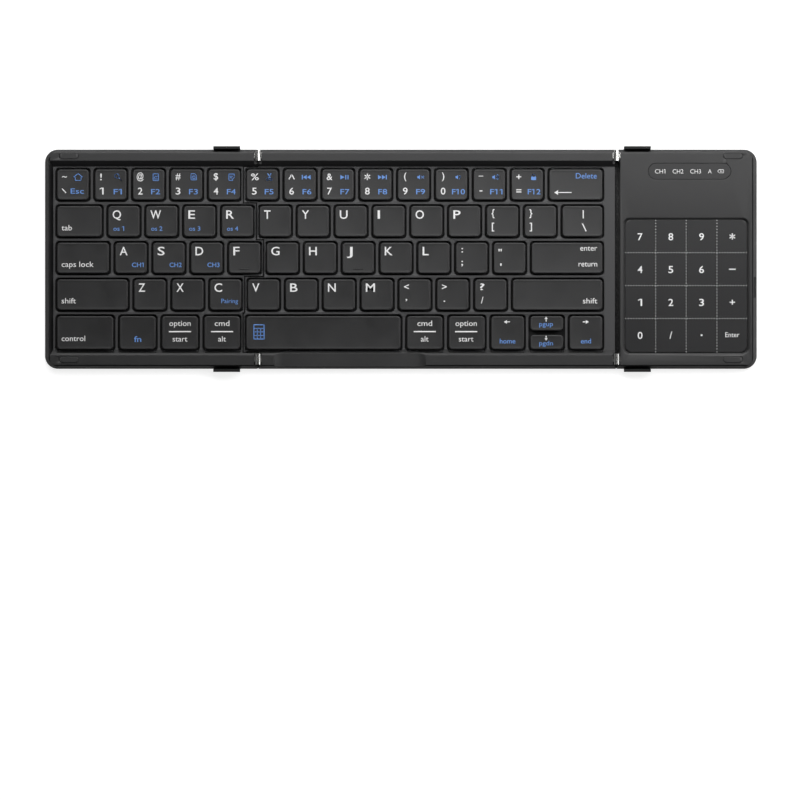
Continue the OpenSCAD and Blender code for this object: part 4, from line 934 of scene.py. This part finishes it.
def drawStrokes(lines, width, z, ink):
    corners, edges = [], []
    for points in lines:  # each straight run is a stroke of its own, a little longer, so that corners close
        for (x0, y0), (x1, y1) in zip(points, points[1:]):
            length = math.hypot(x1 - x0, y1 - y0)
            more = min(width / 2, length) * 0.8 / length
            edges.append((len(corners), len(corners) + 1))
            corners += [((x0 - (x1 - x0) * more) * mm, (y0 - (y1 - y0) * more) * mm, z * mm),
                        ((x1 + (x1 - x0) * more) * mm, (y1 + (y1 - y0) * more) * mm, z * mm)]
    mesh = bpy.data.meshes.new("strokes")
    mesh.from_pydata(corners, edges, [])
    piece = runGeometryTree(addObject("strokes", mesh), strokeTree, {
        "Width": width * mm, "Thickness": inkShape["thickness"] * mm, "Material": inks[ink]})
    made = piece.data
    bpy.data.objects.remove(piece)
    return made


printed = makeWords()
for (body, ink, width, z), lines in drawings.items():
    printed.setdefault((body, ink), bmesh.new()).from_mesh(drawStrokes(lines, width, z, ink))
for (body, ink, z), shapes in fills.items():
    bm = printed.setdefault((body, ink), bmesh.new())
    for points in shapes:
        addPrism(bm, points, z)
for (body, ink), bm in printed.items():
    bmesh.ops.recalc_face_normals(bm, faces=bm.faces)
    name = ink + "Print_" + body.replace("_body", "")
    finishPiece(addObject(name, meshFrom(bm, name)), inks[ink], body)
print("printing ready:", len(printed), "prints")


# Homing bars on the F and J keys: a low rounded ridge
homing = {"length": 4.6, "halfWidth": 0.25, "height": 0.3, "down": 12.4, "stations": 12, "sides": 8}
for node, k in [("keys_a_to_f", 4), ("keys_g_to_quote", 7)]:
    x, y, w, d = printBox(2, k)
    bm = bmesh.new()
    loops = []
    for station in range(homing["stations"] + 1):  # along the ridge, narrowing to a point at both ends
        along = station / homing["stations"]
        grow = math.sqrt(max(0.02, 1 - (2 * along - 1) ** 8))
        loops.append([bm.verts.new(((x + w / 2 + (along - 0.5) * homing["length"]) * mm,
                                    (y - homing["down"] + grow * homing["halfWidth"] * math.cos(turn)) * mm,
                                    (printZ + grow * homing["height"] * math.sin(turn)) * mm))
                      for turn in [math.pi * i / homing["sides"] for i in range(homing["sides"] + 1)]])
    wallsBetween(bm, loops)
    closeEnds(bm, loops)
    name = "homingBar_" + node
    finishPiece(addObject(name, smoothed(meshFrom(bm, name))), capAbs, node + "_body")


# Leather back: sheets with rolled edges, pressed creases where the limp strips start, and corner strips

leather = {"roll": 0.22, "rollSteps": 4, "creaseDepth": 0.24, "creaseHalf": 0.7, "creaseFromBoard": (-1.9, -0.1),
           "cornerRadius": 5.5, "cornerSteps": 12, "sections": 3, "lap": 0.55}


# From start to end along x, in mm: an end can roll over or have round corners, and creases lie so far from start
def leatherSheet(name, start, end, box, rollStart=False, rollEnd=False, roundEnd=False, creases=()):
    low, high = box
    half = (high.y - low.y) / 2 / mm
    z0, z1 = low.z / mm, high.z / mm
    way = 1 if end > start else -1
    span = abs(end - start)
    roll, radius = leather["roll"], leather["cornerRadius"]
    stations = {0.0, span}
    turns = [math.pi / 2 * i / leather["rollSteps"] for i in range(leather["rollSteps"] + 1)]
    if rollStart:
        stations |= {roll * (1 - math.cos(t)) for t in turns}
    if rollEnd:
        stations |= {span - roll * (1 - math.cos(t)) for t in turns}
    if roundEnd:
        stations |= {span - radius * (1 - math.sin(math.pi / 2 * i / leather["cornerSteps"]))
                     for i in range(leather["cornerSteps"])}
    for crease in creases:
        stations |= {crease + leather["creaseHalf"] * i / 6 for i in range(-6, 7)}
    stations |= {span * i / 8 for i in range(1, 8)}
    bm = bmesh.new()
    loops = []
    for s in sorted(stations):
        thin = 0.0  # how far the faces pull in where the edge rolls over
        for edge, on in ((s, rollStart), (span - s, rollEnd)):
            if on and edge < roll:
                thin = max(thin, roll - math.sqrt(max(0.0, roll ** 2 - (roll - edge) ** 2)))
        reach = half
        if roundEnd and s > span - radius:
            reach = half - radius + math.sqrt(max(0.0, radius ** 2 - (s - span + radius) ** 2))
        reach -= thin
        press = sum(leather["creaseDepth"] * math.cos(math.pi / 2 * min(1, abs(s - c) / leather["creaseHalf"])) ** 2
                    for c in creases)  # how deep the underside is pressed in
        bottom, top = z0 + thin + press, z1 - thin
        small = min(roll, (top - bottom) / 2 * 0.9)
        ring = []
        for cy, cz, first in ((reach - small, bottom + small, -90), (reach - small, top - small, 0),
                              (-reach + small, top - small, 90), (-reach + small, bottom + small, 180)):
            for step in range(leather["sections"] + 1):
                turn = math.radians(first + 90 * step / leather["sections"])
                ring.append(bm.verts.new(((start + way * s) * mm, (cy + small * math.cos(turn)) * mm,
                                          (cz + small * math.sin(turn)) * mm)))
        loops.append(ring)
    wallsBetween(bm, loops)
    closeEnds(bm, loops)
    return addObject(name, smoothed(meshFrom(bm, name), 40))


def leatherPiece(name, body, node, start, end, **ends):
    sheet = leatherSheet(name, start, end, leatherBoxes[node], **ends)
    finishPiece(sheet, backLeather, body, [node])


leatherBoxes = {node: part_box(node) for node in cadNodes if node.endswith("_leather")}
centreLow, centreHigh = (corner.x / mm for corner in leatherBoxes["centre_leather"])
lap = leather["lap"]
leatherPiece("centreLeather", "centre", "centre_leather", centreLow + lap, centreHigh - lap)
for side, way in (("left", -1), ("right", 1)):
    near, far = sorted(corner.x / mm * way for corner in leatherBoxes[side + "_spine_leather"])
    leatherPiece(side + "SpineLeather", side + "_spine", side + "_spine_leather", way * (near + lap), way * far,
                 rollEnd=True)
    coverNear, coverFar = sorted(corner.x / mm * way for corner in leatherBoxes[side + "_cover_leather"])
    boardNear = min(abs(corner.x / mm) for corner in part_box(side + "_cover_board")) - coverNear
    leatherPiece(side + "CoverLeather", side + "_cover", side + "_cover_leather", way * coverNear, way * coverFar,
                 rollStart=True, rollEnd=True, roundEnd=True,
                 creases=[boardNear + offset for offset in leather["creaseFromBoard"]])
    # the limp corner between the centre and the spine
    inner = centreLow + lap if way < 0 else centreHigh - lap
    outer = way * (near + lap)
    corner = leatherSheet(side + "LimpCorner", inner, outer, leatherBoxes["centre_leather"])
    corner.data.materials.append(backLeather)
    z = middle("centre_leather").z
    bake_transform(corner)
print("leather ready")


# Room: pale floor, soft light mostly from behind, camera straight above as in the photograph

room = {"floor": ("#d6d6d6", "#d0d0d0"), "mottleMm": 60, "floorRoughness": 0.8, "floorGlow": 0.8, "floorHalf": 3.0,
        "floorGap": 0.2 * mm, "cameraHeight": 4.0, "centre": (-0.0004, -0.0633), "frameWidth": 0.3592,
        "sensorMm": 36, "world": 0.06}
softboxes = {  # place, target and size in metres, power in watts
    "topSoftbox": ((0.13, 0.29, 0.47), (0.11, 0.2, 0.0), (0.86, 0.44), 4.5),
    "rearCard": ((0.1, 0.8, 0.1), (0.0, 0.0, 0.0), (1.6, 0.14), 3.2),
    "leftCard": ((-0.9, 0.0, 0.2), (0.0, 0.0, 0.0), (0.8, 0.3), 0.25),
    "rightCard": ((0.9, 0.0, 0.1), (0.1, 0.0, 0.0), (0.8, 0.14), 1.8)}
floorMaterial, floorTree, floorShader, floorPlace = newMaterial("paintedFloor", {"ior": 1.45})
tint(floorTree, floorShader, noise(floorTree, floorPlace, room["mottleMm"]), room["floor"])
floorShader.inputs["Roughness"].default_value = room["floorRoughness"]
floorShader.inputs["Emission Color"].default_value = (1, 1, 1, 1)  # a light table: keeps the shadows pale
floorShader.inputs["Emission Strength"].default_value = room["floorGlow"]
floorMesh = bpy.data.meshes.new("floor")
reach, low = room["floorHalf"], -room["floorGap"]  # just clear of the leather
floorMesh.from_pydata([(-reach, -reach, low), (reach, -reach, low), (reach, reach, low), (-reach, reach, low)], [],
                      [(0, 1, 2, 3)])
floor = addObject("floor", floorMesh)
floor.data.materials.append(floorMaterial)

for name, (place, target, size, energy) in softboxes.items():
    light = bpy.data.lights.new(name, "AREA")
    light.shape, light.size, light.size_y, light.energy = "RECTANGLE", size[0], size[1], energy
    lamp = addObject(name, light)
    lamp.location = place
    lamp.rotation_euler = (Vector(target) - Vector(place)).to_track_quat("-Z", "Y").to_euler()
world = bpy.data.worlds.new("studio")
world.use_nodes = True
world.node_tree.nodes["Background"].inputs["Color"].default_value = (1, 1, 1, 1)
world.node_tree.nodes["Background"].inputs["Strength"].default_value = room["world"]
bpy.context.scene.world = world
bpy.context.scene.view_settings.view_transform = "Standard"

lens = bpy.data.cameras.new("camera")
lens.sensor_width = room["sensorMm"]
lens.lens = lens.sensor_width * (room["cameraHeight"] - keyHigh * mm) / room["frameWidth"]
lens.clip_start, lens.clip_end = 0.01, 20
camera = addObject("camera", lens)
camera.location = (*room["centre"], room["cameraHeight"])
bpy.context.scene.camera = camera
print("room ready")
